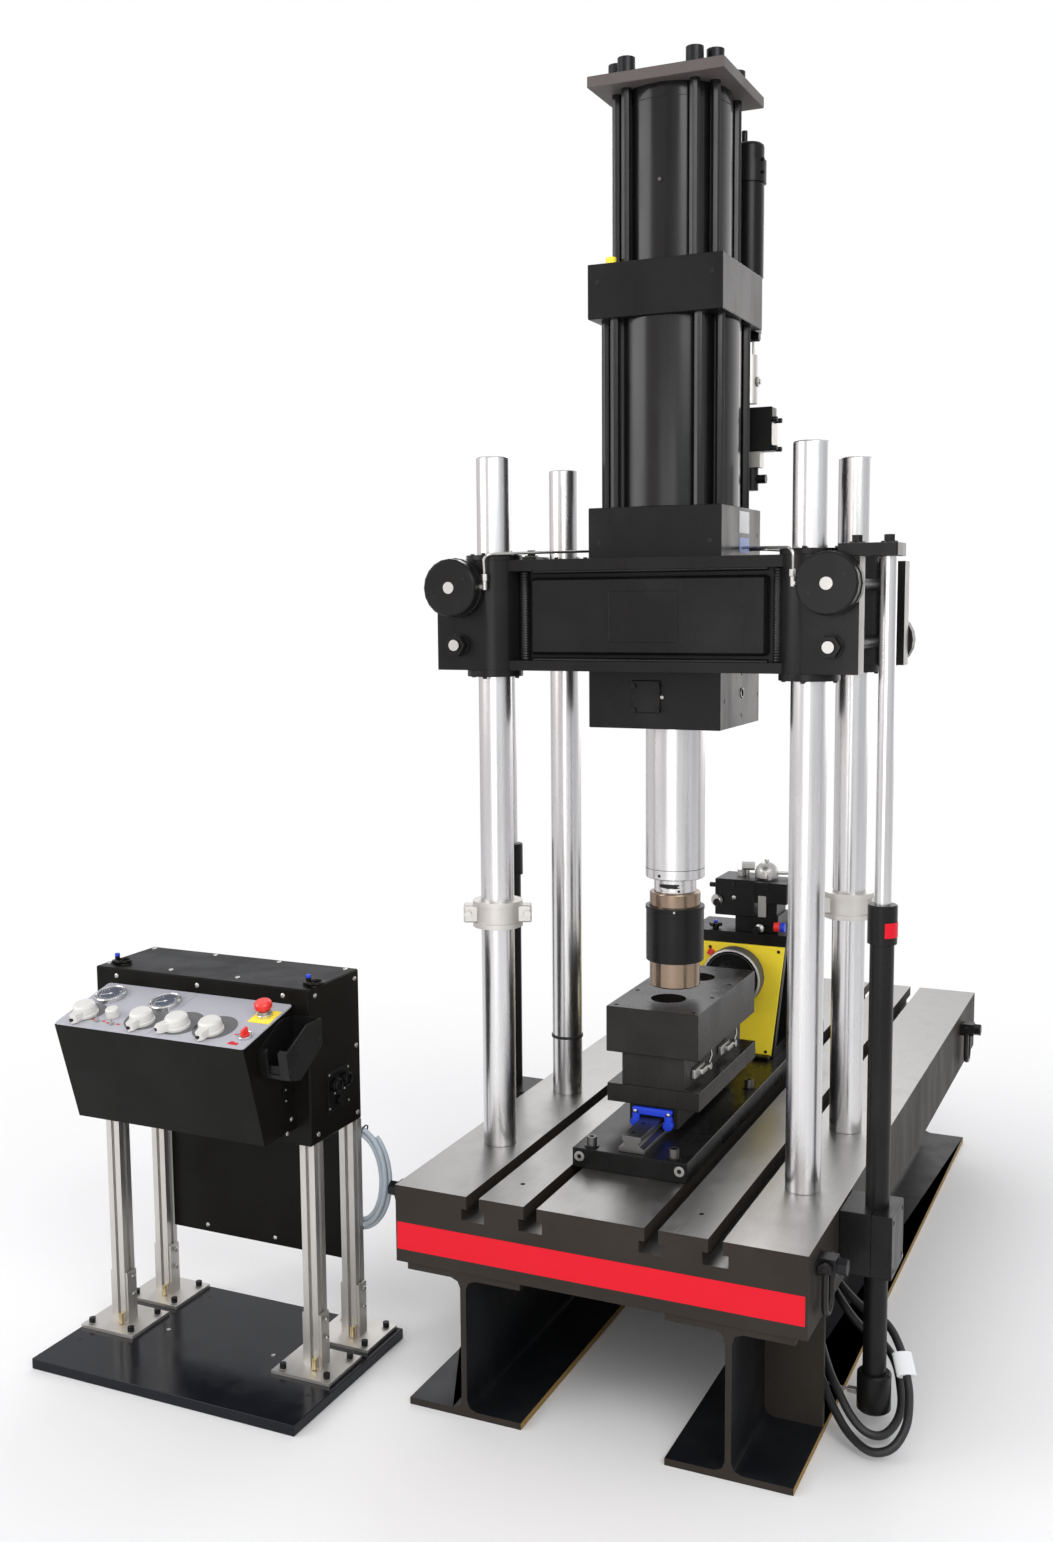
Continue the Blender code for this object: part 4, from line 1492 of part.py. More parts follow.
def build_hoses(rubber):
    """Two of the hoses that hang in a loop beside the right lift cylinder."""
    for name, route in (("hose_outer", OUTER_HOSE_ROUTE), ("hose_inner", INNER_HOSE_ROUTE)):
        curve = bpy.data.curves.new(name, "CURVE")
        curve.dimensions = "3D"
        curve.bevel_depth = HOSE_RADIUS
        curve.bevel_resolution = 2
        curve.use_fill_caps = True
        route = [(BEAM_OUTER_FACE + x, y, z) for x, y, z in route]
        samples = smooth_route(route[1:-1], HOSE_POINTS)
        samples = [Vector(route[0])] + samples + [Vector(route[-1])]
        spline = curve.splines.new("POLY")
        spline.points.add(len(samples) - 1)
        for point, place in zip(spline.points, samples):
            point.co = (*place, 1.0)
        curve.materials.append(rubber)
        hose = bpy.data.objects.new(name, curve)
        bpy.context.scene.collection.objects.link(hose)


def build_machine():
    """Build every piece of the machine."""
    clear_objects()
    black = paint("black_paint", (0.012, 0.012, 0.013), 0.45, 0.0)
    beam_paint = paint("beam_paint", (0.014, 0.016, 0.020), 0.50, 0.0)
    ground = paint("ground_steel", (0.42, 0.41, 0.40), 0.38, 1.0)
    chrome = paint("chrome", (0.72, 0.72, 0.72), 0.12, 1.0)
    bronze = paint("bronze_nickel", (0.50, 0.42, 0.34), 0.28, 1.0)
    alloy = paint("cast_alloy", (0.62, 0.62, 0.60), 0.42, 1.0)
    dark = paint("blackened_steel", (0.045, 0.042, 0.038), 0.42, 0.6)
    yellow = paint("yellow_paint", (0.85, 0.62, 0.02), 0.45, 0.0)
    panel_grey = paint("panel_grey", (0.50, 0.50, 0.53), 0.45, 0.2)
    ivory = paint("ivory_plastic", (0.66, 0.65, 0.60), 0.40, 0.0)
    red = paint("red_plastic", (0.75, 0.03, 0.02), 0.35, 0.0)
    cable_grey = paint("cable_grey", (0.42, 0.46, 0.50), 0.50, 0.0)
    rubber = paint("hose_rubber", (0.010, 0.010, 0.010), 0.55, 0.0)

    crosshead_group = group_at("crosshead_axis", (0, 0, CROSSHEAD_BOTTOM))
    piston_group = group_at("piston_axis", (0, 0, ROD_BOTTOM), crosshead_group)
    shear_group = group_at("shear_slide_axis", (FIXTURE_X, 0, THRUST_Z))

    build_beams(beam_paint)
    build_table(ground)
    build_hoist_bows(dark)
    build_columns(chrome)
    build_stop_collars(alloy)
    build_lifts(black, chrome, crosshead_group)
    build_crosshead(black, crosshead_group)
    build_crosshead_cover(black, crosshead_group)
    build_clamp_studs(black, crosshead_group)
    build_actuator(black, crosshead_group)
    build_hydraulics(black, crosshead_group)
    build_piston(chrome, bronze, black, piston_group)
    build_fixture_base(black, ground)
    build_shear_box(dark, black, chrome, shear_group)
    build_thrust_bracket(black, yellow)
    build_console_stand(black, alloy)
    build_cabinet(black)
    build_control_panel(panel_grey)
    build_controls(ivory, red)
    build_cradle(black)
    build_coil(cable_grey)
    build_hoses(rubber)


build_machine()
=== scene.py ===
# %% [markdown]
# # A four-column testing machine with its console
# A servo-hydraulic load frame pulls or pushes on a specimen between a slotted table and a piston
# that hangs from a heavy crosshead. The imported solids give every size. This script gives them soft
# edges and real finishes, and adds the small parts that a solid model leaves out.

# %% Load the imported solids
import json
import math

import bmesh
import bpy
from mathutils import Matrix, Vector


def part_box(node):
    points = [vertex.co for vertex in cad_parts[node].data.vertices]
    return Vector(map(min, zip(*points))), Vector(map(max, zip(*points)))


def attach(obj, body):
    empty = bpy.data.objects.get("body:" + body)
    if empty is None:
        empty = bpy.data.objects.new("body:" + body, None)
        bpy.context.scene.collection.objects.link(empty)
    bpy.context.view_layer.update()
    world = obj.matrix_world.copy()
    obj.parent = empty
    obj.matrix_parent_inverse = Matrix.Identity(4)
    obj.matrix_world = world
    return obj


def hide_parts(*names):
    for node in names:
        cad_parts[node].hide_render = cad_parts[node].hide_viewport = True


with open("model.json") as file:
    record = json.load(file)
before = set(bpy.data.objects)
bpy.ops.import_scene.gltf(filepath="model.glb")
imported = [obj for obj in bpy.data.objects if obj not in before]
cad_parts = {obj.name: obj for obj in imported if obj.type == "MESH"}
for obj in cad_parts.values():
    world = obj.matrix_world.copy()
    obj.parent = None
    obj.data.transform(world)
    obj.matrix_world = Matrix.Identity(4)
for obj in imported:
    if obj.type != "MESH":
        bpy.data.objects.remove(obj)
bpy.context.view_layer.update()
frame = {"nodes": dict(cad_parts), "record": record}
body_of_node = {node: body for body, nodes in frame["record"]["behaviour"]["bodies"].items() for node in nodes}


def shown(name, data):
    """A new object in the scene."""
    made = bpy.data.objects.new(name, data)
    bpy.context.scene.collection.objects.link(made)
    return made


# %% [markdown]
# ## The camera
# The photograph was taken from the operator's right, a little above the middle of the machine. The
# lens and the place were worked out from the columns and the table, whose edges are square to each
# other. The frame is taller than wide, so the sensor's width is given along the frame's width.

# %% Place the camera
FRAME_WIDTH = 1053
FOCAL_PIXELS = 1513.84
SENSOR_WIDTH = 36.0
CAMERA_PLACE = Vector((1.1355, -3.2975, 1.7622))
CAMERA_YAW = 0.4303
CAMERA_PITCH = -0.1119
CAMERA_ROLL = -0.0082

lens = bpy.data.cameras.new("camera")
lens.sensor_fit = "HORIZONTAL"
lens.sensor_width = SENSOR_WIDTH
lens.lens = FOCAL_PIXELS / FRAME_WIDTH * SENSOR_WIDTH
upright = Matrix.Rotation(CAMERA_YAW, 3, "Z") @ Matrix.Rotation(math.pi / 2 + CAMERA_PITCH, 3, "X")
camera = shown("camera", lens)
camera.matrix_world = Matrix.Translation(CAMERA_PLACE) @ (upright @ Matrix.Rotation(CAMERA_ROLL, 3, "Z")).to_4x4()
bpy.context.scene.camera = camera
print("lens", round(lens.lens, 2), "mm")

# %% [markdown]
# ## Shader maths
# A finish is a small network of nodes. Written as plain sums and products, it reads like the
# recipe it is, so a light wrapper lets Python's operators add the Math nodes.


# %% Write finishes as expressions
class Socket:
    """An output socket that adds Math nodes when it is used in a sum or a product."""

    def __init__(self, paint, output):
        self.paint = paint
        self.output = output

    def math(self, operation, *values):
        return self.paint.node("ShaderNodeMath", {"operation": operation}, dict(enumerate(values)))

    def __add__(self, other):
        return self.math("ADD", self, other)

    def __radd__(self, other):
        return self.math("ADD", other, self)

    def __mul__(self, other):
        return self.math("MULTIPLY", self, other)

    def __rmul__(self, other):
        return self.math("MULTIPLY", other, self)


class Network:
    """The nodes of a material or of the studio's surroundings."""

    def __init__(self, tree):
        self.tree = tree

    def put(self, socket, value):
        """Link a value or a Socket to an input."""
        if isinstance(value, Socket):
            self.tree.links.new(value.output, socket)
        else:
            socket.default_value = value

    def node(self, kind, settings, inputs, output=0):
        """Add a node, set its settings, then its inputs, and give back one of its outputs."""
        made = self.tree.nodes.new(kind)
        for name, value in settings.items():
            if name == "stops":
                for number, (at, colour) in enumerate(value):
                    stop = made.color_ramp.elements[number] if number < 2 else made.color_ramp.elements.new(at)
                    stop.position = at
                    stop.color = colour
            else:
                setattr(made, name, value)
        for name, value in inputs.items():
            self.put(made.inputs[name], value)
        return Socket(self, made.outputs[output])

    def ramp(self, value, low, high):
        """0 below low, 1 above high, straight between."""
        return self.node("ShaderNodeMapRange", {"clamp": True}, {"Value": value, "From Min": low, "From Max": high})

    def mixed(self, mask, first, second):
        """A colour that goes from first to second with the mask."""
        made = self.tree.nodes.new("ShaderNodeMix")
        made.data_type = "RGBA"
        for number, value in ((0, mask), (6, first), (7, second)):
            self.put(made.inputs[number], (*value, 1.0) if isinstance(value, tuple) else value)
        return Socket(self, made.outputs[2])


class Paint(Network):
    """A material, and the means to build its nodes."""

    def __init__(self, name, colour, roughness, metallic=0.0, coat=0.0, gloss=0.5):
        self.material = bpy.data.materials.new(name)
        self.material.use_nodes = True
        super().__init__(self.material.node_tree)
        self.shader = self.tree.nodes["Principled BSDF"]
        self.set("Base Color", (*colour, 1.0))
        self.set("Roughness", roughness)
        self.set("Metallic", metallic)
        self.set("Coat Weight", coat)
        self.set("Coat Roughness", 0.1)
        self.set("Specular IOR Level", gloss)
        self.place = self.node("ShaderNodeTexCoord", {}, {}, "Object")

    def set(self, name, value):
        self.put(self.shader.inputs[name], value)

    def stretched(self, scale):
        """Object coordinates, scaled along each axis."""
        return self.node("ShaderNodeMapping", {}, {"Vector": self.place, "Scale": scale})

    def noise(self, scale, detail=3.0, roughness=0.5, where=None):
        return self.node("ShaderNodeTexNoise", {}, {"Vector": where or self.place, "Scale": scale, "Detail": detail,
                                                    "Roughness": roughness})

    def bump(self, height, strength, distance):
        self.set("Normal", self.node("ShaderNodeBump", {}, {"Height": height, "Strength": strength,
                                                            "Distance": distance}))
        return self


# %% [markdown]
# ## Paint on castings and plate
# The machine is sprayed a semi-gloss black. The real coat has a faint orange-peel ripple, a film of
# dust that dulls it in patches, and thin handling marks. Noise at three scales gives all three. A
# picture could show them too, but noise in object coordinates needs no unwrapping and fits every part.


# %% Paints
def enamel(name, colour, roughness, dusty, gloss=0.4):
    """Sprayed paint with orange peel, dust and handling marks."""
    made = Paint(name, colour, roughness, gloss=gloss)
    cloud = made.noise(7.0, 4.0)
    smear = made.noise(3.0, 5.0, 0.6, made.stretched((4.0, 4.0, 1.0)))
    dust = made.ramp(cloud, 0.45, 0.75) * dusty
    paler = tuple(0.86 * channel + 0.03 for channel in colour)
    made.set("Base Color", made.mixed(dust, colour, paler))
    made.set("Roughness", roughness + 0.14 * made.ramp(smear, 0.40, 0.72) + 0.10 * dust)
    return made.bump(made.noise(420.0, 1.0), 0.10, 0.0006)


black_paint = enamel("black_machine_paint", (0.0060, 0.0058, 0.0056), 0.26, 0.15, 0.20)
console_black = enamel("console_sheet_paint", (0.0046, 0.0043, 0.0036), 0.30, 0.10, 0.10)
# Painted shade: a flat dark grey for the load ring's outer side, standing in for the shade and dim reflection on its
# turned steel.
ring_side_shade = enamel("ring_side_painted_shade", (0.095, 0.092, 0.090), 0.42, 0.05, 0.30)
tube_black = enamel("glossy_tube_paint", (0.0056, 0.0054, 0.0060), 0.16, 0.08, 0.32)
base_gloss = enamel("glossy_base_plate", (0.0070, 0.0078, 0.0115), 0.13, 0.08, 0.18)
weld_black = enamel("painted_weld", (0.0100, 0.0098, 0.0096), 0.30, 0.30, 0.45)
beam_paint = enamel("beam_paint", (0.0060, 0.0068, 0.0085), 0.34, 0.25, 0.25)
plate_edge = enamel("worn_plate_edge", (0.090, 0.077, 0.073), 0.48, 0.35, 0.30)
flange_edge = enamel("ochre_flange_edge", (0.26, 0.155, 0.035), 0.50, 0.30, 0.25)
cut_edge = enamel("painted_cut_edge", (0.024, 0.019, 0.015), 0.48, 0.20, 0.15)
yellow_paint = enamel("yellow_guard_paint", (1.0, 0.78, 0.040), 0.36, 0.02)
panel_grey = enamel("panel_grey_paint", (0.39, 0.39, 0.43), 0.42, 0.08)
dial_grey = enamel("dial_grey_paint", (0.115, 0.117, 0.122), 0.45, 0.08)
gauge_blue = enamel("gauge_face_print", (0.045, 0.055, 0.085), 0.30, 0.02)
stripe_red = enamel("red_stripe_film", (0.60, 0.004, 0.016), 0.42, 0.02, 0.2)
label_white = enamel("white_label_film", (0.72, 0.73, 0.74), 0.45, 0.05)
label_blue = enamel("pale_blue_label_film", (0.30, 0.38, 0.66), 0.45, 0.05)
rail_blue = enamel("blue_seal_plastic", (0.010, 0.045, 0.55), 0.35, 0.05)
print("paints:", black_paint.material.name, beam_paint.material.name)

# %% [markdown]
# ## Bare and plated metal
# Turned or ground steel keeps fine lines from the tool, and they stretch its highlights. The
# columns are polished and hard-chromed, so they only show faint rings and finger marks. The force
# transducer has a warm nickel plate, and the shear block is oiled black. Tool lines show in the gloss
# and hardly in the colour, so stretched noise goes into the roughness and a faint bump.

# %% Metals
EVEN = (300.0, 300.0, 300.0)
TURNED = (300.0, 300.0, 20.0)


def metal(name, colour, roughness, lines, grain, blotch=0.0, stain=None):
    """Metal with tool lines along the axis that has the smallest stretch, and blotches of stain."""
    made = Paint(name, colour, roughness, metallic=1.0)
    scratches = made.noise(1.0, 3.0, 0.6, made.stretched(lines))
    patches = made.noise(9.0, 5.0, 0.62)
    made.set("Roughness", roughness + grain * scratches + 0.12 * made.ramp(patches, 0.45, 0.75))
    if blotch:
        made.set("Base Color", made.mixed(made.ramp(patches, 0.42, 0.80) * blotch, colour, stain))
    return made.bump(scratches, 0.06, 0.0004)


ground_steel = metal("ground_table_steel", (0.35, 0.34, 0.33), 0.27, (220.0, 12.0, 220.0), 0.2, 0.12,
                     (0.24, 0.23, 0.22))
rail_steel = metal("oiled_rail_steel", (0.20, 0.195, 0.19), 0.28, (300.0, 8.0, 300.0), 0.15)
ring_steel = metal("turned_ring_steel", (0.48, 0.47, 0.46), 0.33, (90.0, 300.0, 90.0), 0.12)
head_steel = metal("worn_black_heads", (0.16, 0.155, 0.15), 0.34, EVEN, 0.15)
duller_steel = metal("turned_ear_ends", (0.40, 0.395, 0.375), 0.44, TURNED, 0.12)
chrome = Paint("hard_chrome", (0.66, 0.655, 0.66), 0.22, metallic=1.0)
handled = chrome.ramp(chrome.noise(5.0, 3.0), 0.45, 0.80)
drawn = chrome.noise(1.0, 2.0, 0.5, chrome.stretched((90.0, 90.0, 0.8)))
chrome.set("Roughness", 0.19 + 0.06 * handled + 0.12 * drawn)
chrome.set("Base Color", chrome.mixed(chrome.ramp(drawn, 0.35, 0.65), (0.61, 0.60, 0.61), (0.71, 0.705, 0.70)))
bronze = metal("warm_nickel", (0.28, 0.205, 0.150), 0.14, (120.0, 120.0, 3.0), 0.14)
alloy = metal("machined_alloy", (0.60, 0.58, 0.55), 0.40, TURNED, 0.16, 0.1, (0.40, 0.37, 0.33))
blackened = enamel("oiled_black_steel", (0.0130, 0.0115, 0.0095), 0.22, 0.30, 0.20)
bolt_steel = metal("zinc_bolts", (0.50, 0.49, 0.47), 0.28, EVEN, 0.15)
black_bolts = metal("black_oxide_bolts", (0.030, 0.030, 0.032), 0.30, EVEN, 0.15)
brass = metal("brass_fittings", (0.62, 0.50, 0.28), 0.26, EVEN, 0.15)
print("metals:", chrome.material.name, bronze.material.name)

# %% [markdown]
# ## Moulded plastic and rubber
# The knobs come out of a mould with a fine grain, and the hoses and the cable have an even sheath.
# Two noises do for all of them: a broad one in the gloss and a very fine one in the bump.


# %% Plastics
def plastic(name, colour, roughness, coat=0.0):
    """A moulded surface with a fine grain."""
    made = Paint(name, colour, roughness, coat=coat)
    made.set("Roughness", roughness + 0.12 * made.noise(30.0, 3.0))
    return made.bump(made.noise(900.0, 2.0), 0.15, 0.0002)


ivory = plastic("ivory_knob_plastic", (0.60, 0.59, 0.56), 0.34, 0.2)
red_plastic = plastic("red_plastic", (0.72, 0.022, 0.016), 0.28, 0.3)
cable_grey = plastic("cable_sheath", (0.36, 0.41, 0.46), 0.42)
hose_rubber = plastic("hose_rubber", (0.010, 0.010, 0.011), 0.45)

FINISH = {"black_paint": black_paint, "beam_paint": beam_paint, "ground_steel": ground_steel, "chrome": chrome,
          "bronze_nickel": bronze, "cast_alloy": alloy, "blackened_steel": blackened, "yellow_paint": yellow_paint,
          "panel_grey": panel_grey, "ivory_plastic": ivory, "red_plastic": red_plastic, "cable_grey": cable_grey,
          "hose_rubber": hose_rubber}
OWN_FINISH = {"actuator_lower_barrel": tube_black, "actuator_upper_barrel": tube_black,
              "console_cabinet": console_black, "console_base_plate": base_gloss, "shear_guide_rail": rail_steel,
              "load_ring": ring_steel}
slot_of_node = {row["node"]: row["material_slot"] for row in frame["record"]["subparts"]}
print("finishes for", len(FINISH), "slots")

# %% [markdown]
# ## Dress the solids
# Every edge on real steel is broken, and the thin highlight along it is what makes a part look
# heavy. Each solid is copied, its triangles are merged back into whole faces, its sharp edges are
# bevelled, and the round faces are shaded smooth. A modifier could bevel them too, but a finished
# mesh lets the zones of paint further down be chosen face by face.

# %% Copy, soften and paint each solid
SHARP = math.radians(33)
FLAT = math.radians(0.6)
BEVEL = {"crosshead": 0.004, "beam_left": 0.0015, "beam_right": 0.0015, "t_slot_table": 0.0015,
         "actuator_base_block": 0.003, "actuator_middle_block": 0.0025, "actuator_nose_block": 0.0025,
         "actuator_top_plate": 0.002, "console_cabinet": 0.002, "control_panel": 0.0008, "load_cell": 0.0015,
         "shear_block": 0.0025, "load_ring": 0.006, "shear_carriage": 0.002, "thrust_bracket": 0.002,
         "shear_ram": 0.0015}
SMALL_BEVEL = 0.0010


def is_sharp(edge):
    return len(edge.link_faces) != 2 or edge.calc_face_angle(0.0) >= SHARP


def finished(name, shape, finish, body):
    """Turn a bmesh into a piece that rides on a body."""
    for face in shape.faces:
        face.smooth = True
    for edge in shape.edges:
        edge.smooth = not is_sharp(edge)
    mesh = bpy.data.meshes.new(name)
    shape.to_mesh(mesh)
    shape.free()
    mesh.materials.append(finish.material)
    made = shown(name, mesh)
    made.modifiers.new("normals", "WEIGHTED_NORMAL").keep_sharp = True
    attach(made, body)
    return made


def eased(shape, edges, width):
    """Bevel those of some edges that are sharp."""
    edges = [edge for edge in edges if len(edge.link_faces) == 2 and edge.calc_face_angle(0.0) > SHARP]
    bmesh.ops.bevel(shape, geom=edges, offset=width, offset_type="OFFSET", segments=2, profile=0.5,
                    affect="EDGES", clamp_overlap=True, material=-1)


def dressed(node):
    """A merged, bevelled and painted copy of a solid, which stands for it."""
    shape = bmesh.new()
    shape.from_mesh(frame["nodes"][node].data)
    bmesh.ops.remove_doubles(shape, verts=shape.verts, dist=0.00002)
    bmesh.ops.dissolve_limit(shape, angle_limit=FLAT, verts=shape.verts, edges=shape.edges)
    eased(shape, shape.edges, BEVEL.get(node, SMALL_BEVEL))
    slot = slot_of_node[node]
    piece = finished(node + "_dressed", shape, OWN_FINISH.get(node, FINISH[slot]), body_of_node[node])
    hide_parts(node)
    return piece


CORDS = ("hose_outer", "hose_inner", "console_cable_coil")
look = {node: dressed(node) for node in sorted(frame["nodes"]) if node not in CORDS}
print("dressed", len(look), "solids")

# %% [markdown]
# ## Shapes for small parts
# Bolts, caps, rings and pipes come again and again. Each helper below adds one shape to a mesh that
# is being built, standing on a point and growing along an axis. Cylinders and boxes come first, with
# edges that can be eased like those of the big solids.

# %% Drums and slabs
UP, FRONT, BACK, RIGHT, LEFT, DOWN = (0, 0, 1), (0, -1, 0), (0, 1, 0), (1, 0, 0), (-1, 0, 0), (0, 0, -1)
HAIR = 0.0002


def along(place, axis):
    """The matrix that stands local Z along an axis."""
    return Matrix.Translation(place) @ Vector(axis).normalized().to_track_quat("Z", "Y").to_matrix().to_4x4()


def drum(shape, place, axis, radius, height, sides=32, soft=0.0):
    """A cylinder."""
    stand = along(place, axis) @ Matrix.Translation((0, 0, height / 2))
    made = bmesh.ops.create_cone(shape, cap_ends=True, segments=sides, radius1=radius, radius2=radius,
                                 depth=height, matrix=stand)["verts"]
    if soft:
        eased(shape, {edge for vert in made for edge in vert.link_edges}, soft)


def slab(shape, low, high, soft=0.0, stand=None):
    """A box between two corners."""
    low, high = Vector(low), Vector(high)
    middle = Matrix.Translation((low + high) / 2) @ Matrix.Diagonal((*(high - low), 1))
    made = bmesh.ops.create_cube(shape, size=1, matrix=stand @ middle if stand else middle)["verts"]
    if soft:
        eased(shape, {edge for vert in made for edge in vert.link_edges}, soft)

# %% [markdown]
# ## Turned parts
# Rings, domed heads and socket screws come off a lathe, and a lathe is the way to make them here
# too. Half of the outline is drawn once and spun about the axis, so every edge is a true circle.


# %% Lathe work
def turned(shape, profile, place, axis, sides=40):
    """Spin a profile of (radius, height) pairs about an axis."""
    part = bmesh.new()
    verts = [part.verts.new((radius, 0, height)) for radius, height in profile]
    edges = [part.edges.new(pair) for pair in zip(verts, verts[1:])]
    bmesh.ops.spin(part, geom=verts + edges, cent=(0, 0, 0), axis=(0, 0, 1), angle=math.tau, steps=sides,
                   use_merge=True, use_duplicate=False)
    bmesh.ops.remove_doubles(part, verts=part.verts, dist=0.000001)
    bmesh.ops.recalc_face_normals(part, faces=part.faces)
    part.transform(along(place, axis))
    carrier = bpy.data.meshes.new("carrier")
    part.to_mesh(carrier)
    part.free()
    shape.from_mesh(carrier)
    bpy.data.meshes.remove(carrier)


def ring(shape, place, axis, inner, outer, height, soft=0.0008, sides=40):
    """A flat ring with eased edges."""
    turned(shape, [(inner, 0), (outer, 0), (outer, height - soft), (outer - soft, height), (inner + soft, height),
                   (inner, height - soft), (inner, 0)], place, axis, sides)


def dome(shape, place, axis, radius, height, sides=20):
    """A low round head."""
    steps = [math.pi / 8 * step for step in range(5)]
    turned(shape, [(0, 0)] + [(radius * math.cos(step), height * (0.25 + 0.75 * math.sin(step)) if step else 0)
                              for step in steps], place, axis, sides)


def cap_screw(shape, place, axis, radius, height):
    """A socket-head screw with its pocket."""
    rim, pocket = 0.52 * radius, 0.55 * height
    turned(shape, [(0, 0), (radius, 0), (radius, 0.86 * height), (0.90 * radius, height), (rim, height),
                   (rim * 0.94, height - 0.1 * pocket), (rim * 0.94, height - pocket), (0, height - pocket)],
           place, axis, 24)


def hex_bolt(shape, place, axis, flats, height):
    """A hexagon head on its washer face."""
    drum(shape, place, axis, flats * 0.56, height * 0.12, 24)
    base = Vector(place) + Vector(axis).normalized() * height * 0.12
    drum(shape, base, axis, flats / math.sqrt(3), height * 0.88, 6, flats * 0.03)

# %% [markdown]
# ## Bent pipes
# A steel pipe is bent over a former, so its corners share one radius. The corners of a plain path
# are rounded first. A circle could be swept along them by hand, but it twists at the bends, so a
# curve with a round bevel makes the tube.


# %% Pipes
def rounded(points, bend, steps=6):
    """A path whose corners are rounded."""
    points = [Vector(point) for point in points]
    path = [points[0]]
    for before, corner, after in zip(points, points[1:], points[2:]):
        start = corner + (before - corner).normalized() * bend
        end = corner + (after - corner).normalized() * bend
        for step in range(steps + 1):
            t = step / steps
            path.append(start.lerp(corner, t).lerp(corner.lerp(end, t), t))
    return path + [points[-1]]


def round_curve(name, path, radius, resolution):
    """A round tube along a path, closed at its ends."""
    curve = bpy.data.curves.new(name, "CURVE")
    curve.dimensions = "3D"
    curve.bevel_depth = radius
    curve.bevel_resolution = resolution
    curve.use_fill_caps = True
    spline = curve.splines.new("POLY")
    spline.points.add(len(path) - 1)
    for point, place in zip(spline.points, path):
        point.co = (*place, 1.0)
    return curve


def pipe(shape, points, radius, bend):
    """A bent metal pipe."""
    curve = round_curve("tube", rounded(points, bend), radius, 3)
    holder = bpy.data.objects.new("tube", curve)
    mesh = bpy.data.meshes.new_from_object(holder)
    shape.from_mesh(mesh)
    bpy.data.objects.remove(holder)
    bpy.data.curves.remove(curve)
    bpy.data.meshes.remove(mesh)
    bmesh.ops.remove_doubles(shape, verts=shape.verts, dist=0.0000005)

# %% [markdown]
# ## Putting a small part together
# Small shapes of one finish on one body share a mesh, which keeps the scene light. A part is a list
# of helpers with what each is given, in the order in which they are fitted. Its faces are counted
# as it is made, because a part that suddenly has none, or thousands, shows a slip at once.


# %% Build a part from a list
def built(name, finish, body, slot, *parts):
    """A small part that is put together from helpers, each with what it is given."""
    shape = bmesh.new()
    for make, *given in parts:
        make(shape, *given)
    made = finished(name, shape, finish, body)
    print(name, "has", len(made.data.polygons), "faces")
    return made


def circle(x, y, radius, count):
    """Evenly spaced points on a level circle, as (x, y)."""
    turns = [math.tau * number / count for number in range(count)]
    return [(x + radius * math.cos(turn), y + radius * math.sin(turn)) for turn in turns]


print("helpers ready")

# %% [markdown]
# ## Hydraulic hoses
# Two stiff hydraulic hoses leave the right beam, hang in a loop beside the lift cylinder and go back
# into the beam lower down. A simulated rope would hang in its own way, so they follow smooth curves
# through points that were placed along the real ones, in millimetres from the beam's web.

# %% Hoses
WEB_FACE = 0.3036
HOSE_RADIUS = 0.009
MILLIMETRE = 0.001
HOSE_ROUTES = {
    "hose_outer": (
        (0.4, 20, 266), (22.4, 20, 266), (43.4, 10, 267), (64.4, -14, 270), (88.4, -56, 270), (116.4, -96, 254),
        (175.4, -120, 217), (231.4, -140, 200), (268.4, -178, 166), (289.4, -218, 128), (300.4, -252, 99),
        (303.4, -298, 68), (288.4, -334, 41), (261.4, -347, 26), (228.4, -340, 22), (186.4, -312, 34),
        (149.4, -278, 60), (120.4, -244, 86), (90.4, -190, 112), (64.4, -128, 130), (43.4, -84, 135),
        (22.4, -70, 136), (0.4, -70, 136)),
    "hose_inner": (
        (0.4, 60, 232), (22.4, 60, 232), (46.4, 34, 236), (76.4, -30, 238), (114.4, -90, 218), (166.4, -112, 172),
        (222.4, -126, 146), (252.4, -148, 118), (268.4, -178, 84), (276.4, -212, 56), (270.4, -248, 36),
        (250.4, -282, 26), (220.4, -296, 34), (186.4, -284, 56), (154.4, -256, 86), (122.4, -214, 112),
        (90.4, -154, 138), (58.4, -88, 164), (40.4, -44, 170), (22.4, -30, 172), (0.4, -30, 172))}
TAG_LENGTH = 0.050
TAG_WIDENED = 1.9


def smooth_route(knots, steps=8):
    """A smooth curve through listed points."""
    ends = [2 * knots[0] - knots[1]] + knots + [2 * knots[-1] - knots[-2]]
    dense = []
    for index in range(1, len(ends) - 2):
        before, start, end, after = ends[index - 1:index + 3]
        for step in range(steps):
            t = step / steps
            dense.append(0.5 * ((2 * start) + (end - before) * t + (2 * before - 5 * start + 4 * end - after) * t ** 2
                                + (3 * start - before - 3 * end + after) * t ** 3))
    return dense + [knots[-1]]


def run_length(path):
    return sum((after - before).length for before, after in zip(path, path[1:]))


def cord_curve(name, path, radius, finish):
    """A round cord along a path."""
    curve = round_curve(name, path, radius, 5)
    curve.materials.append(finish.material)
    made = shown(name, curve)
    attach(made, "frame")
    return made


def ferrule(shape, place):
    """A hexagon at the beam's web and the sleeve that is pressed on the hose."""
    drum(shape, place, RIGHT, 0.0130, 0.006, 6, 0.0008)
    turned(shape, [(HOSE_RADIUS, 0.006), (0.0115, 0.006), (0.0115, 0.021), (HOSE_RADIUS, 0.022)], place, RIGHT, 28)


def wrapped_tag(shape, start, end):
    """A tag folded about a hose, half way between two points."""
    drum(shape, (0, 0, -TAG_LENGTH / 2), UP, 0.0112, TAG_LENGTH, 28, 0.001)
    shape.transform(along((start + end) / 2, (end - start).normalized()) @ Matrix.Diagonal((TAG_WIDENED, 1, 1, 1)))


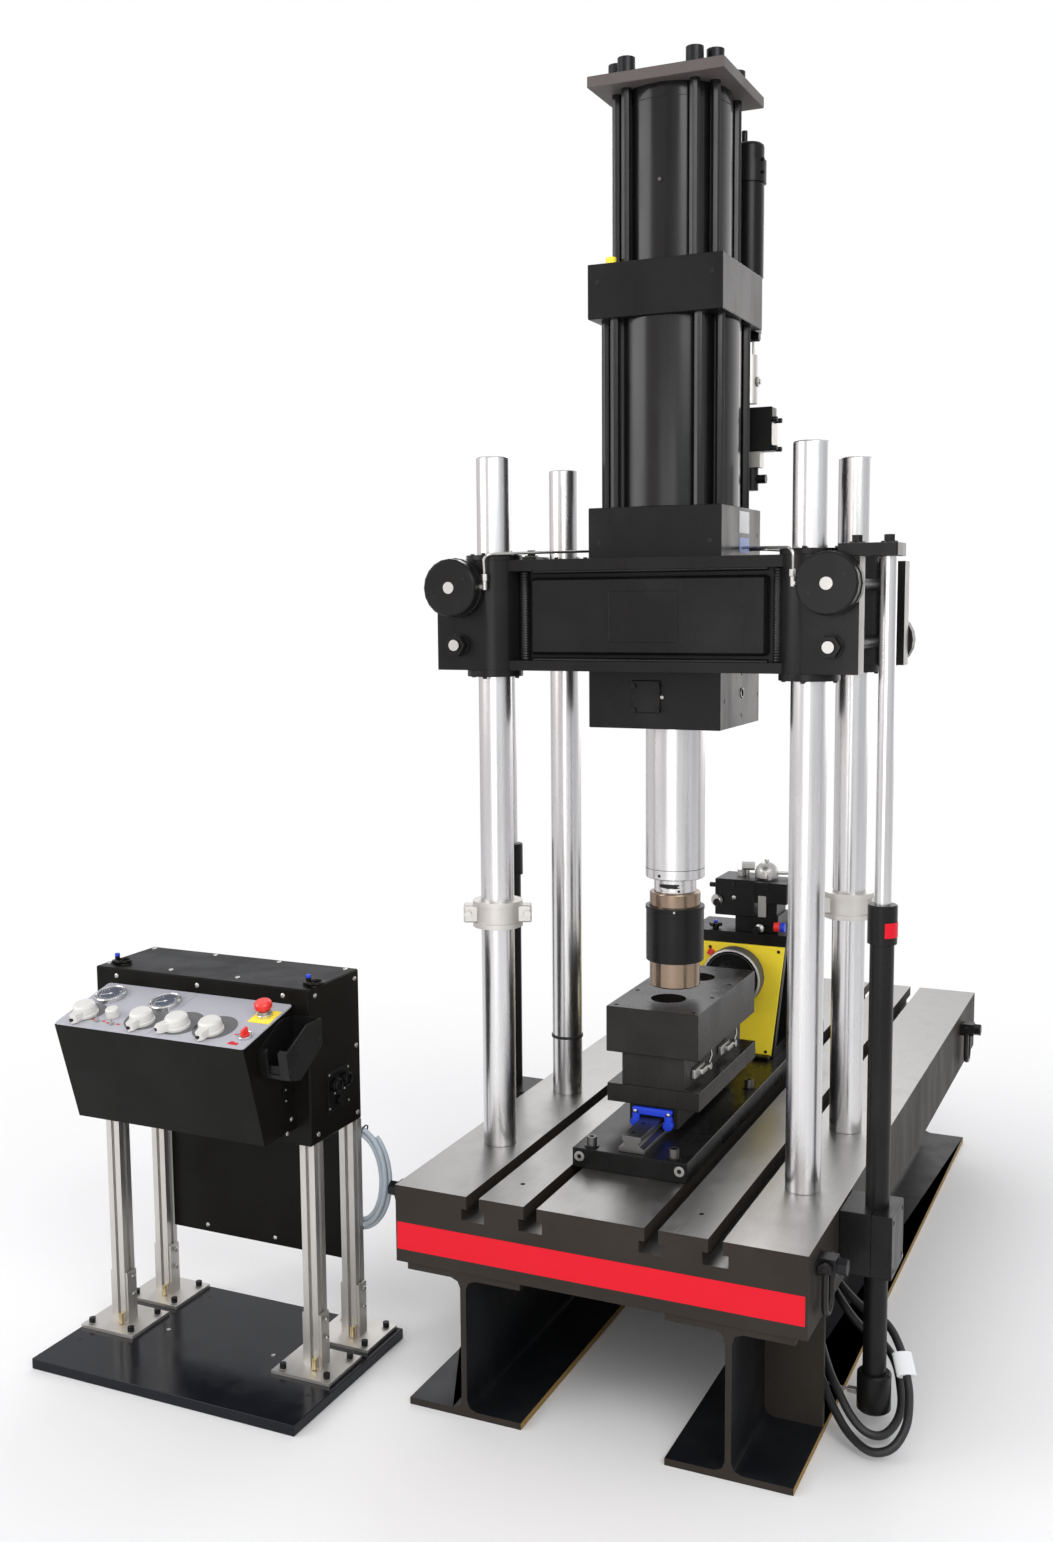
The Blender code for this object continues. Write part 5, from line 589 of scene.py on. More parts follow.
for node, route in HOSE_ROUTES.items():
    knots = [Vector((WEB_FACE + MILLIMETRE * x, MILLIMETRE * y, MILLIMETRE * z)) for x, y, z in route]
    path = [knots[0]] + smooth_route(knots[1:-1]) + [knots[-1]]
    hose = cord_curve(node + "_cord", path, HOSE_RADIUS, hose_rubber)
    extras = [built(node + "_fittings", bolt_steel, "frame", "chrome", (ferrule, knots[0]), (ferrule, knots[-1]))]
    if node == "hose_outer":
        extras.append(built("hose_tag", label_white, "frame", "panel_grey", (wrapped_tag, knots[8], knots[9])))
    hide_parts(node)
    round(run_length(path), 3)
    print(node, "is", round(run_length(path), 3), "m long")

# %% [markdown]
# ## The console's cable
# The grey cable is coiled in four turns and tied behind the console's right leg. Turns that lie
# side by side look like a spring. Here the path also winds about the middle of its own bundle, so
# the turns cross as they do when a hand coils them.

# %% Coiled cable
COIL_LOW, COIL_HIGH = (Vector(corner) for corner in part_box("console_cable_coil"))
COIL_MIDDLE = (COIL_LOW + COIL_HIGH) / 2
COIL_ACROSS, COIL_UP = 0.072, 0.116
CABLE_RADIUS = 0.0062
COIL_TURNS, STEPS = 4, 48
BUNDLE = 0.0094
cable_path = []
for step in range(COIL_TURNS * STEPS - 5):
    turn = step / STEPS
    spread = math.tau / COIL_TURNS * turn + math.radians(45)
    out, deep = BUNDLE * math.cos(spread), BUNDLE * math.sin(spread)
    angle = math.tau * turn + math.radians(100)
    cable_path.append(COIL_MIDDLE + Vector(((COIL_ACROSS + out) * math.cos(angle), deep,
                                            (COIL_UP + out) * math.sin(angle))))
cable = cord_curve("console_cable_coil_cord", cable_path, CABLE_RADIUS, cable_grey)


def cable_tie(shape, degrees, width, thick):
    """A strap about the four turns, at an angle round the coil."""
    turn = math.radians(degrees)
    heading = Vector((-COIL_ACROSS * math.sin(turn), 0, COIL_UP * math.cos(turn))).normalized()
    middle = COIL_MIDDLE + Vector((COIL_ACROSS * math.cos(turn), 0, COIL_UP * math.sin(turn)))
    inner = BUNDLE + CABLE_RADIUS - 0.0012
    ring(shape, middle - heading * width / 2, heading, inner, inner + thick, width, 0.0004)


cable_ties = built("console_cable_ties", hose_rubber, "frame", "hose_rubber",
                   (cable_tie, 78, 0.004, 0.0012), (cable_tie, 262, 0.013, 0.0018))
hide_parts("console_cable_coil")
round(run_length(cable_path), 3)
print("console cable is", round(run_length(cable_path), 3), "m long")

# %% [markdown]
# ## One casting, two finishes
# A face that is machined after painting shows bare steel: the table's top, the split ends of the
# column clamps. Bolts and trim on a solid have their own finish too. Each zone is a simple test
# on where a face is and which way it looks.

# %% Paint the zones
FIXTURE_X, RAM_Z = -0.009, 0.7674
BASE_LOW, BASE_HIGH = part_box("shear_base_plate")
TABLE_TOP, BASE_BOLT_TOP = BASE_LOW[2], BASE_HIGH[2]
TABLE_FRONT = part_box("t_slot_table")[0][1]
TABLE_SIDE = 0.457
SLOT_FLOOR = TABLE_TOP - 0.053
EAR_END = 0.474
LIFT_PLATE_BOTTOM = 1.835
FLANGE_EDGE, FLANGE_TOP = 0.130, 0.017
BEAM_MIDDLE = 0.2966
PANEL_TILT = math.radians(14.25)
PANEL_NORMAL = Vector((0, -math.sin(PANEL_TILT), math.cos(PANEL_TILT)))
PANEL_DOWN = Vector((0, -math.cos(PANEL_TILT), -math.sin(PANEL_TILT)))
PANEL_BACK = Vector((-0.9575, -0.542, 0.879))
FOOT_TOP = 0.0345
LEG_AT = 0.274
SERVO_PIPE = (0.117, 0.1763)
MIDDLE_BLOCK_LOW, VALVE_BLOCK_TOP = 2.3705, 1.0215
TOP_PLATE_LOW, TOP_PLATE_HIGH, TOP_NUTS_LOW = 2.856, 2.8802, 2.8825
RING_BORE, RING_SIDE = 0.066, 0.070


def painted_zones(node, *zones):
    """Give the faces that a test picks out another finish."""
    piece = look[node]
    for finish, test in zones:
        piece.data.materials.append(finish.material)
        slot_number = len(piece.data.materials) - 1
        for face in piece.data.polygons:
            if test(face.center, face.normal):
                face.material_index = slot_number


painted_zones("t_slot_table",
              (cut_edge, lambda at, way: way.z < 0.9 or SLOT_FLOOR + 0.001 < at.z < TABLE_TOP - 0.003),
              (black_bolts, lambda at, way: abs(at.x) > TABLE_SIDE + 0.0005))
painted_zones("crosshead", (duller_steel, lambda at, way: abs(at.x) > EAR_END and abs(way.x) > 0.9))
for side in ("left", "right"):
    painted_zones(f"lift_rod_{side}", (black_paint, lambda at, way: at.z > LIFT_PLATE_BOTTOM))
    painted_zones(f"beam_{side}",
                  (cut_edge, lambda at, way: abs(way.y) > 0.9 or abs(way.x) > 0.9
                   and abs(abs(at.x) - BEAM_MIDDLE) > FLANGE_EDGE),
                  (flange_edge, lambda at, way: abs(way.x) > 0.9 and at.z < FLANGE_TOP))
    for end in ("front", "rear"):
        leg = f"console_leg_{end}_{side}"
        middle = sum((Vector(corner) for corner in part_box(leg)), Vector()) / 2
        painted_zones(leg, (black_bolts, lambda at, way: FOOT_TOP < at.z < 0.05
                            and abs(abs(at.x - PANEL_BACK.x) - LEG_AT) > 0.03 and abs(at.y - middle.y) > 0.03))
painted_zones("actuator_middle_block", (tube_black, lambda at, way: at.z < MIDDLE_BLOCK_LOW))
painted_zones("actuator_top_plate", (tube_black, lambda at, way: at.z < TOP_PLATE_LOW),
              (black_bolts, lambda at, way: at.z > TOP_NUTS_LOW),
              (plate_edge, lambda at, way: TOP_PLATE_LOW < at.z < TOP_PLATE_HIGH and way.z < 0.6))
painted_zones("servo_valve_manifold",
              (alloy, lambda at, way: 0.1175 < at.x < 0.1485 and 2.0655 < at.z < 2.1005),
              (alloy, lambda at, way: 2.2108 < at.z < 2.3215
               and math.hypot(at.x - SERVO_PIPE[0], at.y - SERVO_PIPE[1]) < 0.0195))
painted_zones("shear_base_plate", (head_steel, lambda at, way: at.z > BASE_BOLT_TOP - 0.0012
                                   or BASE_BOLT_TOP - 0.0185 < at.z < BASE_BOLT_TOP - 0.0065))
painted_zones("shear_valve_manifold", (bolt_steel, lambda at, way: at.z > VALVE_BLOCK_TOP))
# The outer side of the ring is painted a flat dark grey as painted shade.
painted_zones("load_ring",
              (black_paint, lambda at, way: at.y < 0.49
               and math.hypot(at.x - FIXTURE_X, at.z - RAM_Z) < RING_BORE),
              (ring_side_shade, lambda at, way: abs(way.y) < 0.2
               and math.hypot(at.x - FIXTURE_X, at.z - RAM_Z) > RING_SIDE))
painted_zones("control_panel", (bolt_steel, lambda at, way: (at - PANEL_BACK).dot(PANEL_NORMAL) > 0.0012))
print("zones painted")

# %% [markdown]
# ## The front of the table
# A wide red stripe runs along the painted front face. The film is thin, so its piece stands only
# a hair proud of the paint.

# %% Red stripe
built("front_stripe", stripe_red, "frame", "black_paint",
      (slab, (-0.4535, TABLE_FRONT - 0.0005, 0.3570), (0.4510, TABLE_FRONT - 0.0001, 0.4185)))

# %% [markdown]
# ## Fasteners on the fixture
# The base plate has bright levelling screws in its front edge, and the yellow guard is screwed on and stands on two
# feet. Holes that were really cut would need many small faces, so the shade in the pockets and holes is painted as thin
# dark discs.

# %% Base plate and guard
LEVEL_SCREWS = [(x, -0.2813, 0.5275) for x in (-0.1265, 0.1085)]
built("base_levelling_screws", bolt_steel, "frame", "ground_steel",
      *[(cap_screw, place, FRONT, 0.0115, 0.0022) for place in LEVEL_SCREWS])
# Painted shade: thin dark discs in the screw pockets and in two holes.
built("painted_shade_in_screw_pockets", black_bolts, "frame", "blackened_steel",
      *[(drum, place, FRONT, 0.0056, 0.0018, 6) for place in LEVEL_SCREWS],
      *[(drum, (-0.0133, y, 0.5844), UP, 0.0055, 0.0005, 20) for y in (-0.1755, -0.2397)])

GUARD_FACE = 0.531
built("guard_screws_and_feet", black_bolts, "frame", "black_paint",
      *[(dome, (x, GUARD_FACE - HAIR, z), FRONT, 0.0045, 0.0025, 16)
        for x, z in ((-0.0831, 0.8356), (0.1046, 0.8374), (0.0719, 0.5631), (-0.0899, 0.5631))],
      *[(slab, (x - 0.021, 0.506, 0.5465), (x + 0.021, 0.530, 0.5565), 0.002) for x in (-0.083, 0.065)])
built("guard_latch", red_plastic, "frame", "red_plastic",
      (slab, (-0.0085, -0.007, -0.0085), (0.0085, 0, 0.0085), 0.001,
       Matrix.Translation((-0.0796, GUARD_FACE - 0.0003, 0.822)) @ Matrix.Rotation(math.radians(25), 4, "Y")))

# %% [markdown]
# ## The valve group
# Behind the guard a valve block carries knobs, plugs and bright fittings, and a pipe bends down to
# the cylinder. They are small turned and six-sided shapes, gathered into one part for each finish.

# %% Valve group
VALVE_FACE, VALVE_TOP = 0.545 - HAIR, 1.0206
built("valve_fittings", bolt_steel, "frame", "chrome",
      (turned, [(0, 0), (0.0165, 0), (0.0165, 0.009), (0.0150, 0.011), (0.0060, 0.011), (0.0055, 0.0125),
                (0, 0.0125)], (-0.0660, VALVE_FACE, 0.962), (-0.45, -0.9, 0)),
      (dome, (-0.0223, VALVE_FACE, 0.9712), FRONT, 0.0060, 0.003),
      (dome, (0.0496, VALVE_FACE, 0.8935), FRONT, 0.0125, 0.006),
      (hex_bolt, (0.066, 0.575, VALVE_TOP), UP, 0.012, 0.012),
      (hex_bolt, (0.066, 0.640, VALVE_TOP), UP, 0.012, 0.010),
      (turned, [(0, 0), (0.031, 0), (0.031, 0.016), (0.027, 0.028), (0.017, 0.037), (0.006, 0.041), (0.006, 0.048),
                (0, 0.048)], (0.048, 0.612, VALVE_TOP), UP),
      (drum, (-0.008, 0.618, VALVE_TOP), UP, 0.0070, 0.022, 20),
      (drum, (-0.020, 0.612, 1.0470), (1, 0.2, 0), 0.0120, 0.034, 6, 0.001),
      (pipe, [(0.075, 0.630, 1.030), (0.130, 0.650, 1.030), (0.165, 0.660, 1.000), (0.165, 0.660, 0.900),
              (0.110, 0.690, 0.800)], 0.0045, 0.02),
      (drum, (0.145, 0.654, 1.0275), (1, 0.2, -0.1), 0.0085, 0.018, 6, 0.001))
built("valve_strap", duller_steel, "frame", "cast_alloy",
      (slab, (0.0425, 0.548, 0.9224), (0.0645, 0.556, 0.9800), 0.002))
STAR_X, STAR_Y = -0.0787, 0.566
built("valve_knobs", black_bolts, "frame", "black_paint",
      (drum, (-0.0752, 0.560, 1.0000), LEFT, 0.0065, 0.018, 20, 0.001),
      (drum, (-0.0246, VALVE_FACE, 1.0080), FRONT, 0.0075, 0.005, 6, 0.0008),
      *[(drum, (x, y, 0.8865), UP, 0.0055, 0.0095, 16, 0.001) for x, y in circle(STAR_X, STAR_Y, 0.0125, 6)],
      (drum, (STAR_X, STAR_Y, 0.8803), UP, 0.0090, 0.0157, 24, 0.001))
built("blue_plugs", rail_blue, "frame", "black_paint",
      (drum, (STAR_X, STAR_Y, 0.8961), UP, 0.0055, 0.0060, 20, 0.001),
      (drum, (0.1070, 0.540, 0.9020), RIGHT, 0.0125, 0.0120, 24, 0.001))
built("red_plug", red_plastic, "frame", "red_plastic",
      (drum, (0.0900, 0.540, 0.9020), RIGHT, 0.0125, 0.0165, 24, 0.001))

# %% [markdown]
# ## Marks on the piston
# A turned groove and two small holes near the piston's end help the hand find the parting line. The sleeve of the force
# transducer is held by one small bright screw. Cutting into the polished face would break its shading, so the shade in
# the groove, the holes and a slot in the neck is painted as dark shapes that stand out by a fraction of a millimetre.

# %% Piston marks
ROD_FACE, NECK_FACE, SLEEVE_FACE = 0.0683, 0.049, 0.0674


def around(radius, bearing, z):
    """A point on an upright cylinder about the machine's axis, and the way out from it."""
    out = Vector((math.cos(math.radians(bearing)), math.sin(math.radians(bearing)), 0))
    return out * radius + Vector((0, 0, z)), out


def neck_slot(shape, bearing):
    """A short length of the painted shade in the slot of the piston's neck."""
    place, out = around(NECK_FACE - 0.0004, bearing, 1.1075)
    stand = Matrix.Translation(place) @ Matrix.Rotation(math.atan2(out.y, out.x), 4, "Z")
    slab(shape, (-0.001, -0.0026, -0.0032), (0.0008, 0.0026, 0.0032), 0.0, stand)


# Painted shade: dark rings, discs and slabs in the groove, the holes and the neck slot.
built("piston_marks_painted_shade", black_bolts, "piston", "blackened_steel",
      (ring, (0, 0, 1.1457), UP, ROD_FACE - 0.001, ROD_FACE + HAIR, 0.0011, 0.0001, 72),
      (drum, *around(ROD_FACE - 0.0003, -103, 1.1334), 0.0036, 0.0008, 20),
      (drum, *around(NECK_FACE - 0.0003, -61, 1.0960), 0.0030, 0.0008, 20),
      *[(neck_slot, -112 + 5.6 * step) for step in range(9)])
built("sleeve_screw", bolt_steel, "piston", "ground_steel",
      (dome, *around(SLEEVE_FACE - HAIR, -73, 1.0506), 0.0036, 0.0016, 16))

# %% [markdown]
# ## The shear box
# The bearing carriage under the shear box ends in a blue seal, and two spring clamps hold the box
# together on its right side. Each specimen bore has a ring of balls inside.

# %% Seal, clamps and bores
SEAL_FRONT, SEAL_BACK = -0.1335, -0.1205
CLAMP_FACE = FIXTURE_X + 0.075


def seal_ear(shape, side):
    """One end of the seal, with its round foot."""
    inner, outer = sorted((FIXTURE_X + side * 0.030, FIXTURE_X + side * 0.048))
    slab(shape, (inner, SEAL_FRONT, 0.566), (outer, SEAL_BACK, 0.600), 0.003)
    drum(shape, (FIXTURE_X + side * 0.039, SEAL_BACK, 0.570), FRONT, 0.012, 0.017, 24, 0.002)


def spring_clamp(shape, y):
    """A toggle on its plate, with the wire that it pulls."""
    slab(shape, (CLAMP_FACE + 0.0003, y - 0.045, 0.668), (CLAMP_FACE + 0.010, y + 0.028, 0.690), 0.002)
    slab(shape, (CLAMP_FACE + 0.008, y - 0.020, 0.672), (CLAMP_FACE + 0.020, y + 0.040, 0.686), 0.003)
    drum(shape, (CLAMP_FACE + 0.0003, y + 0.030, 0.680), RIGHT, 0.009, 0.024, 24, 0.0015)
    pipe(shape, [(CLAMP_FACE + 0.016, y + 0.030, 0.680), (CLAMP_FACE + 0.018, y + 0.052, 0.700),
                 (CLAMP_FACE + 0.012, y + 0.060, 0.712)], 0.0025, 0.006)


def bore_bearing(shape, y):
    """Eighteen balls in a sleeve."""
    for ball_x, ball_y in circle(FIXTURE_X, y, 0.0345, 18):
        bmesh.ops.create_uvsphere(shape, u_segments=12, v_segments=8, radius=0.0048,
                                  matrix=Matrix.Translation((ball_x, ball_y, 0.8130)))
    ring(shape, (FIXTURE_X, y, 0.7470), UP, 0.030, 0.0385, 0.0600)


built("carriage_seal", rail_blue, "shear_slide_body", "black_paint", (seal_ear, -1), (seal_ear, 1),
      (slab, (FIXTURE_X - 0.048, SEAL_FRONT, 0.5885), (FIXTURE_X + 0.048, SEAL_BACK, 0.6055), 0.003))
built("seal_screws", bolt_steel, "shear_slide_body", "ground_steel",
      *[(dome, (FIXTURE_X + x, SEAL_FRONT - HAIR, 0.596), FRONT, 0.0045, 0.003) for x in (-0.040, 0.040)])
built("shear_box_clamps", bolt_steel, "shear_slide_body", "ground_steel",
      (spring_clamp, -0.030), (spring_clamp, 0.170))
built("specimen_bore_bearing", bolt_steel, "shear_slide_body", "ground_steel",
      (bore_bearing, -0.018), (bore_bearing, 0.203))

# %% [markdown]
# ## Clamp studs
# Each clamp stud ends in a bright face in the middle of its big round piston cap, with two pin holes for a wrench.
# Studs and caps are imported solids, so only the bright faces and the painted shade of the pin holes, as thin dark
# discs, are added, at the places that the solids give.

# %% Stud ends and pin holes
SIDES = ((-1, "left"), (1, "right"))
STUD_X, CAP_Z, NUT_Z = 0.420, 1.792, 1.665
PIN_CIRCLE = 0.040


def stud_end(shape, side, name):
    """The bright ends of the upper and the lower stud on one side."""
    upper, lower = (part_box(f"clamp_stud_{name}_{level}")[0][1] for level in ("upper", "lower"))
    drum(shape, (side * STUD_X, upper + 0.0015, CAP_Z), FRONT, 0.0132, 0.0021, 32, 0.0008)
    drum(shape, (side * STUD_X, lower - HAIR, NUT_Z), BACK, 0.0128, 0.004, 32, 0.001)


def pin_hole(shape, side, name, degrees):
    """The painted shade of a hole for the pin of a wrench: a thin dark disc."""
    turn = math.radians(degrees)
    drum(shape, (side * STUD_X + PIN_CIRCLE * math.cos(turn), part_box(f"clamp_stud_{name}_upper")[0][1] + 0.0016,
                 CAP_Z + PIN_CIRCLE * math.sin(turn)), FRONT, 0.0035, 0.0006, 16)


built("clamp_stud_ends", bolt_steel, "crosshead_body", "ground_steel", *[(stud_end, *side) for side in SIDES])
# Painted shade: the pin holes are thin dark discs.
built("cap_pin_hole_shade", black_bolts, "crosshead_body", "blackened_steel",
      *[(pin_hole, *side, degrees) for side in SIDES for degrees in (28, 208)])

# %% [markdown]
# ## Oil pipes
# Thin steel pipes carry oil from the base block to the caps that draw the clamps shut. Each runs
# flat over the crosshead's top and drops into an elbow. Left and right are mirror images, so one
# function makes both.

# %% Oil pipes and elbows
BASE_RIGHT = 0.1535
OIL_X = 0.3459


def oil_lines(shape, side):
    """The pipes to the front and the rear cap on one side, with their elbows."""
    pipe(shape, [(side * BASE_RIGHT, 0.018, 1.8770), (side * 0.172, -0.010, 1.8755), (side * 0.262, -0.185, 1.8690),
                 (side * 0.336, -0.281, 1.8650), (side * OIL_X, -0.287, 1.8560), (side * OIL_X, -0.283, 1.8210)],
         0.0032, 0.008)
    pipe(shape, [(side * BASE_RIGHT, 0.090, 1.8740), (side * 0.190, 0.060, 1.8730), (side * 0.262, 0.165, 1.8690),
                 (side * 0.336, 0.281, 1.8650), (side * OIL_X, 0.287, 1.8560), (side * OIL_X, 0.283, 1.7320)],
         0.0032, 0.008)
    for y, low in ((-0.283, 1.7866), (0.283, 1.7080)):
        drum(shape, (side * OIL_X, y, low + 0.0200), UP, 0.0085, 0.0150, 6, 0.0008)
        drum(shape, (side * OIL_X, y, low), UP, 0.0065, 0.0200, 20, 0.0008)
        drum(shape, (side * OIL_X, y, low + 0.0070), (side, 0, 0), 0.0070, 0.0140, 6, 0.0008)


built("clamp_oil_pipes", bolt_steel, "crosshead_body", "chrome", (oil_lines, -1), (oil_lines, 1))

# %% [markdown]
# ## Wiper rings and weld beads
# Four small bolts hold each wiper ring, above and below every clamp. Weld beads join the ears to the
# box. A bead is a row of small overlapping ripples, so it is spun from a profile that swells and
# shrinks, which needs no carving.

# %% Ring bolts and beads
COLUMN_AT, COLUMN_DEEP = 0.3608, 0.2022
WIPER_CIRCLE = 0.0545
RING_BOTTOM, RING_TOP = (corner[2] + lift for corner, lift in zip(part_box("crosshead"), (-HAIR, HAIR)))
WELD_LOW, WELD_HIGH = 1.6302, 1.8272
built("wiper_ring_bolts", black_bolts, "crosshead_body", "black_paint",
      *[(drum, (*spot, z), way, 0.0048, 0.0042, 12, 0.0006)
        for x in (-COLUMN_AT, COLUMN_AT) for y in (-COLUMN_DEEP, COLUMN_DEEP)
        for spot in circle(x, y, WIPER_CIRCLE, 4) for z, way in ((RING_TOP, UP), (RING_BOTTOM, DOWN))])


def bead(shape, place, axis, low, high, ripple, count, sides):
    """A weld bead: a bar whose radius goes from low to high and back in every ripple."""
    profile = [(0, 0)]
    for number in range(count):
        profile += [(low, ripple * number), (high, ripple * number + ripple / 2)]
    turned(shape, profile + [(0, ripple * count)], place, axis, sides)


weld_parts = []
for side, level in ((-1, WELD_LOW), (1, WELD_HIGH)):
    weld_parts += [(bead, (side * 0.2915, y, WELD_LOW), UP, 0.0108, 0.0118, 0.0058, 34, 20) for y in (-0.19, 0.19)]
    weld_parts += [(bead, (-0.270, y, level), RIGHT, 0.0056, 0.0063, 0.0060, 90, 12) for y in (-0.1862, 0.1862)]
built("weld_beads", weld_black, "crosshead_body", "black_paint", *weld_parts)

# %% [markdown]
# ## Screws and plates on the actuator
# The blocks carry small threaded ports, whose shade is painted as thin dark discs, a bolted cover, and two plain labels
# on the right face. The labels are thin slabs and not paint, because a label has an edge that catches light.

# %% Actuator details
BLOCK_FRONT = -0.150
# Painted shade: the threaded ports are thin dark discs.
built("block_port_shade", black_bolts, "crosshead_body", "blackened_steel",
      *[(drum, (x, BLOCK_FRONT - HAIR, z), FRONT, 0.0055, 0.0006, 20)
        for x, z in ((0.1277, 1.888), (-0.1277, 1.888), (0.130, 2.4495), (-0.130, 2.4495))],
      *[(drum, (BASE_RIGHT + 0.0001, y, z), RIGHT, size, 0.0006, 16)
        for y, z, size in ((0.0101, 1.594, 0.003), (0.1399, 1.542, 0.003), (-0.1167, 1.5406, 0.0035),
                           (0.0109, 1.5011, 0.0045), (0.1282, 1.9073, 0.0045))])
built("nose_cover_screws", black_bolts, "crosshead_body", "blackened_steel",
      *[(cap_screw, (x, BLOCK_FRONT - 0.0063, z), FRONT, 0.0055, 0.005)
        for x, z in ((0.0120, 1.5738), (0.0120, 1.5204), (-0.0440, 1.5738), (-0.0440, 1.5204))])
built("port_rims", bolt_steel, "crosshead_body", "ground_steel",
      (cap_screw, (0.0209, BLOCK_FRONT - 0.0005, 1.5492), FRONT, 0.004, 0.003),
      (ring, (BASE_RIGHT + HAIR, 0.0112, 1.5526), RIGHT, 0.0085, 0.0115, 0.0020))
for name, film, low, high in (("plain_white_label", label_white, (-0.0184, 1.9085), (0.0567, 1.9565)),
                              ("plain_blue_label", label_blue, (-0.0169, 1.8650), (0.0575, 1.8985))):
    built(name, film, "crosshead_body", "panel_grey", (slab, (BASE_RIGHT + 0.0001, *low), (BASE_RIGHT + 0.0006, *high)))

# %% [markdown]
# ## Servo valve and accumulator
# The servo valve has a bright cover plate held by four screws, and a hexagon joins it to the pipe
# above. A black band goes round the accumulator.

# %% Servo valve and accumulator details
SERVO_FACE = 0.1772
SERVO_Y = SERVO_PIPE[1]
ACCUMULATOR_X, ACCUMULATOR_Y = 0.102, 0.212
built("servo_bright_parts", alloy, "crosshead_body", "cast_alloy",
      (slab, (SERVO_FACE, 0.1530, 2.1140), (SERVO_FACE + 0.0012, 0.1995, 2.1640), 0.0004),
      (turned, [(0, 0), (0.0115, 0), (0.0115, 0.004), (0.0060, 0.0055), (0.0060, 0.0085), (0, 0.0085)],
       (0.1355, SERVO_Y, 2.2607), RIGHT),
      (pipe, [(0.1260, SERVO_Y, 2.3560), (0.1260, SERVO_Y, 2.3210)], 0.0030, 0.012))
forward = around(0.0385, -25, 0)
built("servo_dark_parts", black_bolts, "crosshead_body", "black_paint",
      *[(cap_screw, (SERVO_FACE, y, z), RIGHT, 0.0058, 0.0125) for y in (0.1565, 0.1960) for z in (2.1720, 2.1070)],
      (drum, (0.1005, SERVO_Y, 2.3615), RIGHT, 0.0105, 0.0400, 6, 0.001),
      (drum, (0.0880, 0.2200, 2.8023), UP, 0.0068, 0.0330, 20, 0.002),
      *[(cap_screw, Vector((ACCUMULATOR_X, ACCUMULATOR_Y, z)) + forward[0], forward[1], 0.0040, 0.0050)
        for z in (2.7600, 2.7320)])
built("accumulator_band", black_paint, "crosshead_body", "black_paint",
      (ring, (ACCUMULATOR_X, ACCUMULATOR_Y, 2.7125), UP, 0.0392, 0.0396, 0.0490, 0.0001, 56))

# %% [markdown]
# ## Vent cap and barrel marks
# A yellow cap closes the vent on the middle block. The upper barrel has a thin dark seam below its end cap, and a
# plugged port with a dark ring of painted shade round it that makes it look let in.

# %% Vent cap, seam and port
built("yellow_vent_cap", yellow_paint, "crosshead_body", "yellow_paint",
      (drum, (-0.1060, -0.1290, 2.4882), UP, 0.0115, 0.0150, 28, 0.002))
place, out = Vector((0.0021, -0.1220, 2.6570)), Vector((0.017, -1, 0))
# The second ring is painted shade round the plugged port.
built("barrel_seam_and_port_shade", black_bolts, "crosshead_body", "blackened_steel",
      (ring, (0, 0, 2.8262), UP, 0.1210, 0.1223, 0.0011, 0.0001, 96),
      (ring, place - out * 0.0003, out, 0.0048, 0.0080, 0.0009, 0.0002))
built("barrel_port_plug", plate_edge, "crosshead_body", "blackened_steel",
      (dome, place - out * HAIR, out, 0.0040, 0.0010, 16))

# %% [markdown]
# ## Lift cylinders
# Each lift cylinder takes its oil through a thin steel pipe at the foot. The right one carries a
# small red plate on its gland.

# %% Lift cylinder fittings
LIFT_AT, LIFT_DEEP = 0.5235, 0.217
GLAND_FACE, GLAND_LOW, GLAND_HIGH = 0.0305, 1.0724, 1.1035


def lift_feed(shape, side):
    """The pipe at a lift cylinder's foot, with its nut."""
    middle = Vector((side * LIFT_AT, -side * LIFT_DEEP, 0.078))
    drum(shape, middle - Vector((side * 0.0370, 0, 0)), (-side, 0, 0), 0.0085, 0.0190, 6, 0.0008)
    pipe(shape, [middle - Vector((side * 0.0550, 0, 0)), middle + Vector((-side * 0.1050, 0, 0.0045)),
                 middle + Vector((-side * 0.2195, 0, 0.0110))], 0.0031, 0.02)


def gland_plate(shape):
    """A thin plate that is bent about the gland."""
    strips = []
    for step in range(13):
        bearing = math.radians(-70 + 6.2 * step)
        out = Vector((math.cos(bearing), math.sin(bearing), 0))
        strips.append([shape.verts.new(Vector((LIFT_AT, -LIFT_DEEP, z)) + out * (GLAND_FACE + proud))
                       for proud, z in ((HAIR, GLAND_LOW), (0.0008, GLAND_LOW), (0.0008, GLAND_HIGH),
                                        (HAIR, GLAND_HIGH))])
    for first, second in zip(strips, strips[1:]):
        for number in range(4):
            after = (number + 1) % 4
            shape.faces.new((first[number], first[after], second[after], second[number]))
    shape.faces.new(strips[0])
    shape.faces.new(strips[-1][::-1])
    bmesh.ops.recalc_face_normals(shape, faces=shape.faces)


built("lift_feed_pipes", bolt_steel, "frame", "chrome", (lift_feed, -1), (lift_feed, 1),
      (drum, (0.5671, -0.1665, 0.3729), RIGHT, 0.0042, 0.0012, 16))
built("red_gland_plate", stripe_red, "frame", "red_plastic", (gland_plate,))
built("column_rubber_ring", hose_rubber, "frame", "hose_rubber",
      (ring, (-COLUMN_AT, COLUMN_DEEP, 0.6470), UP, 0.0383, 0.0405, 0.0065))

# %% [markdown]
# ## The console's front panel
# The grey panel slopes towards the operator, with dark dial fields under three of the big knobs and a disc of painted
# shade under the flow knob. Everything on it is placed by two distances along the slope, from its middle and from its
# back edge, as it would be marked out on the flat sheet.


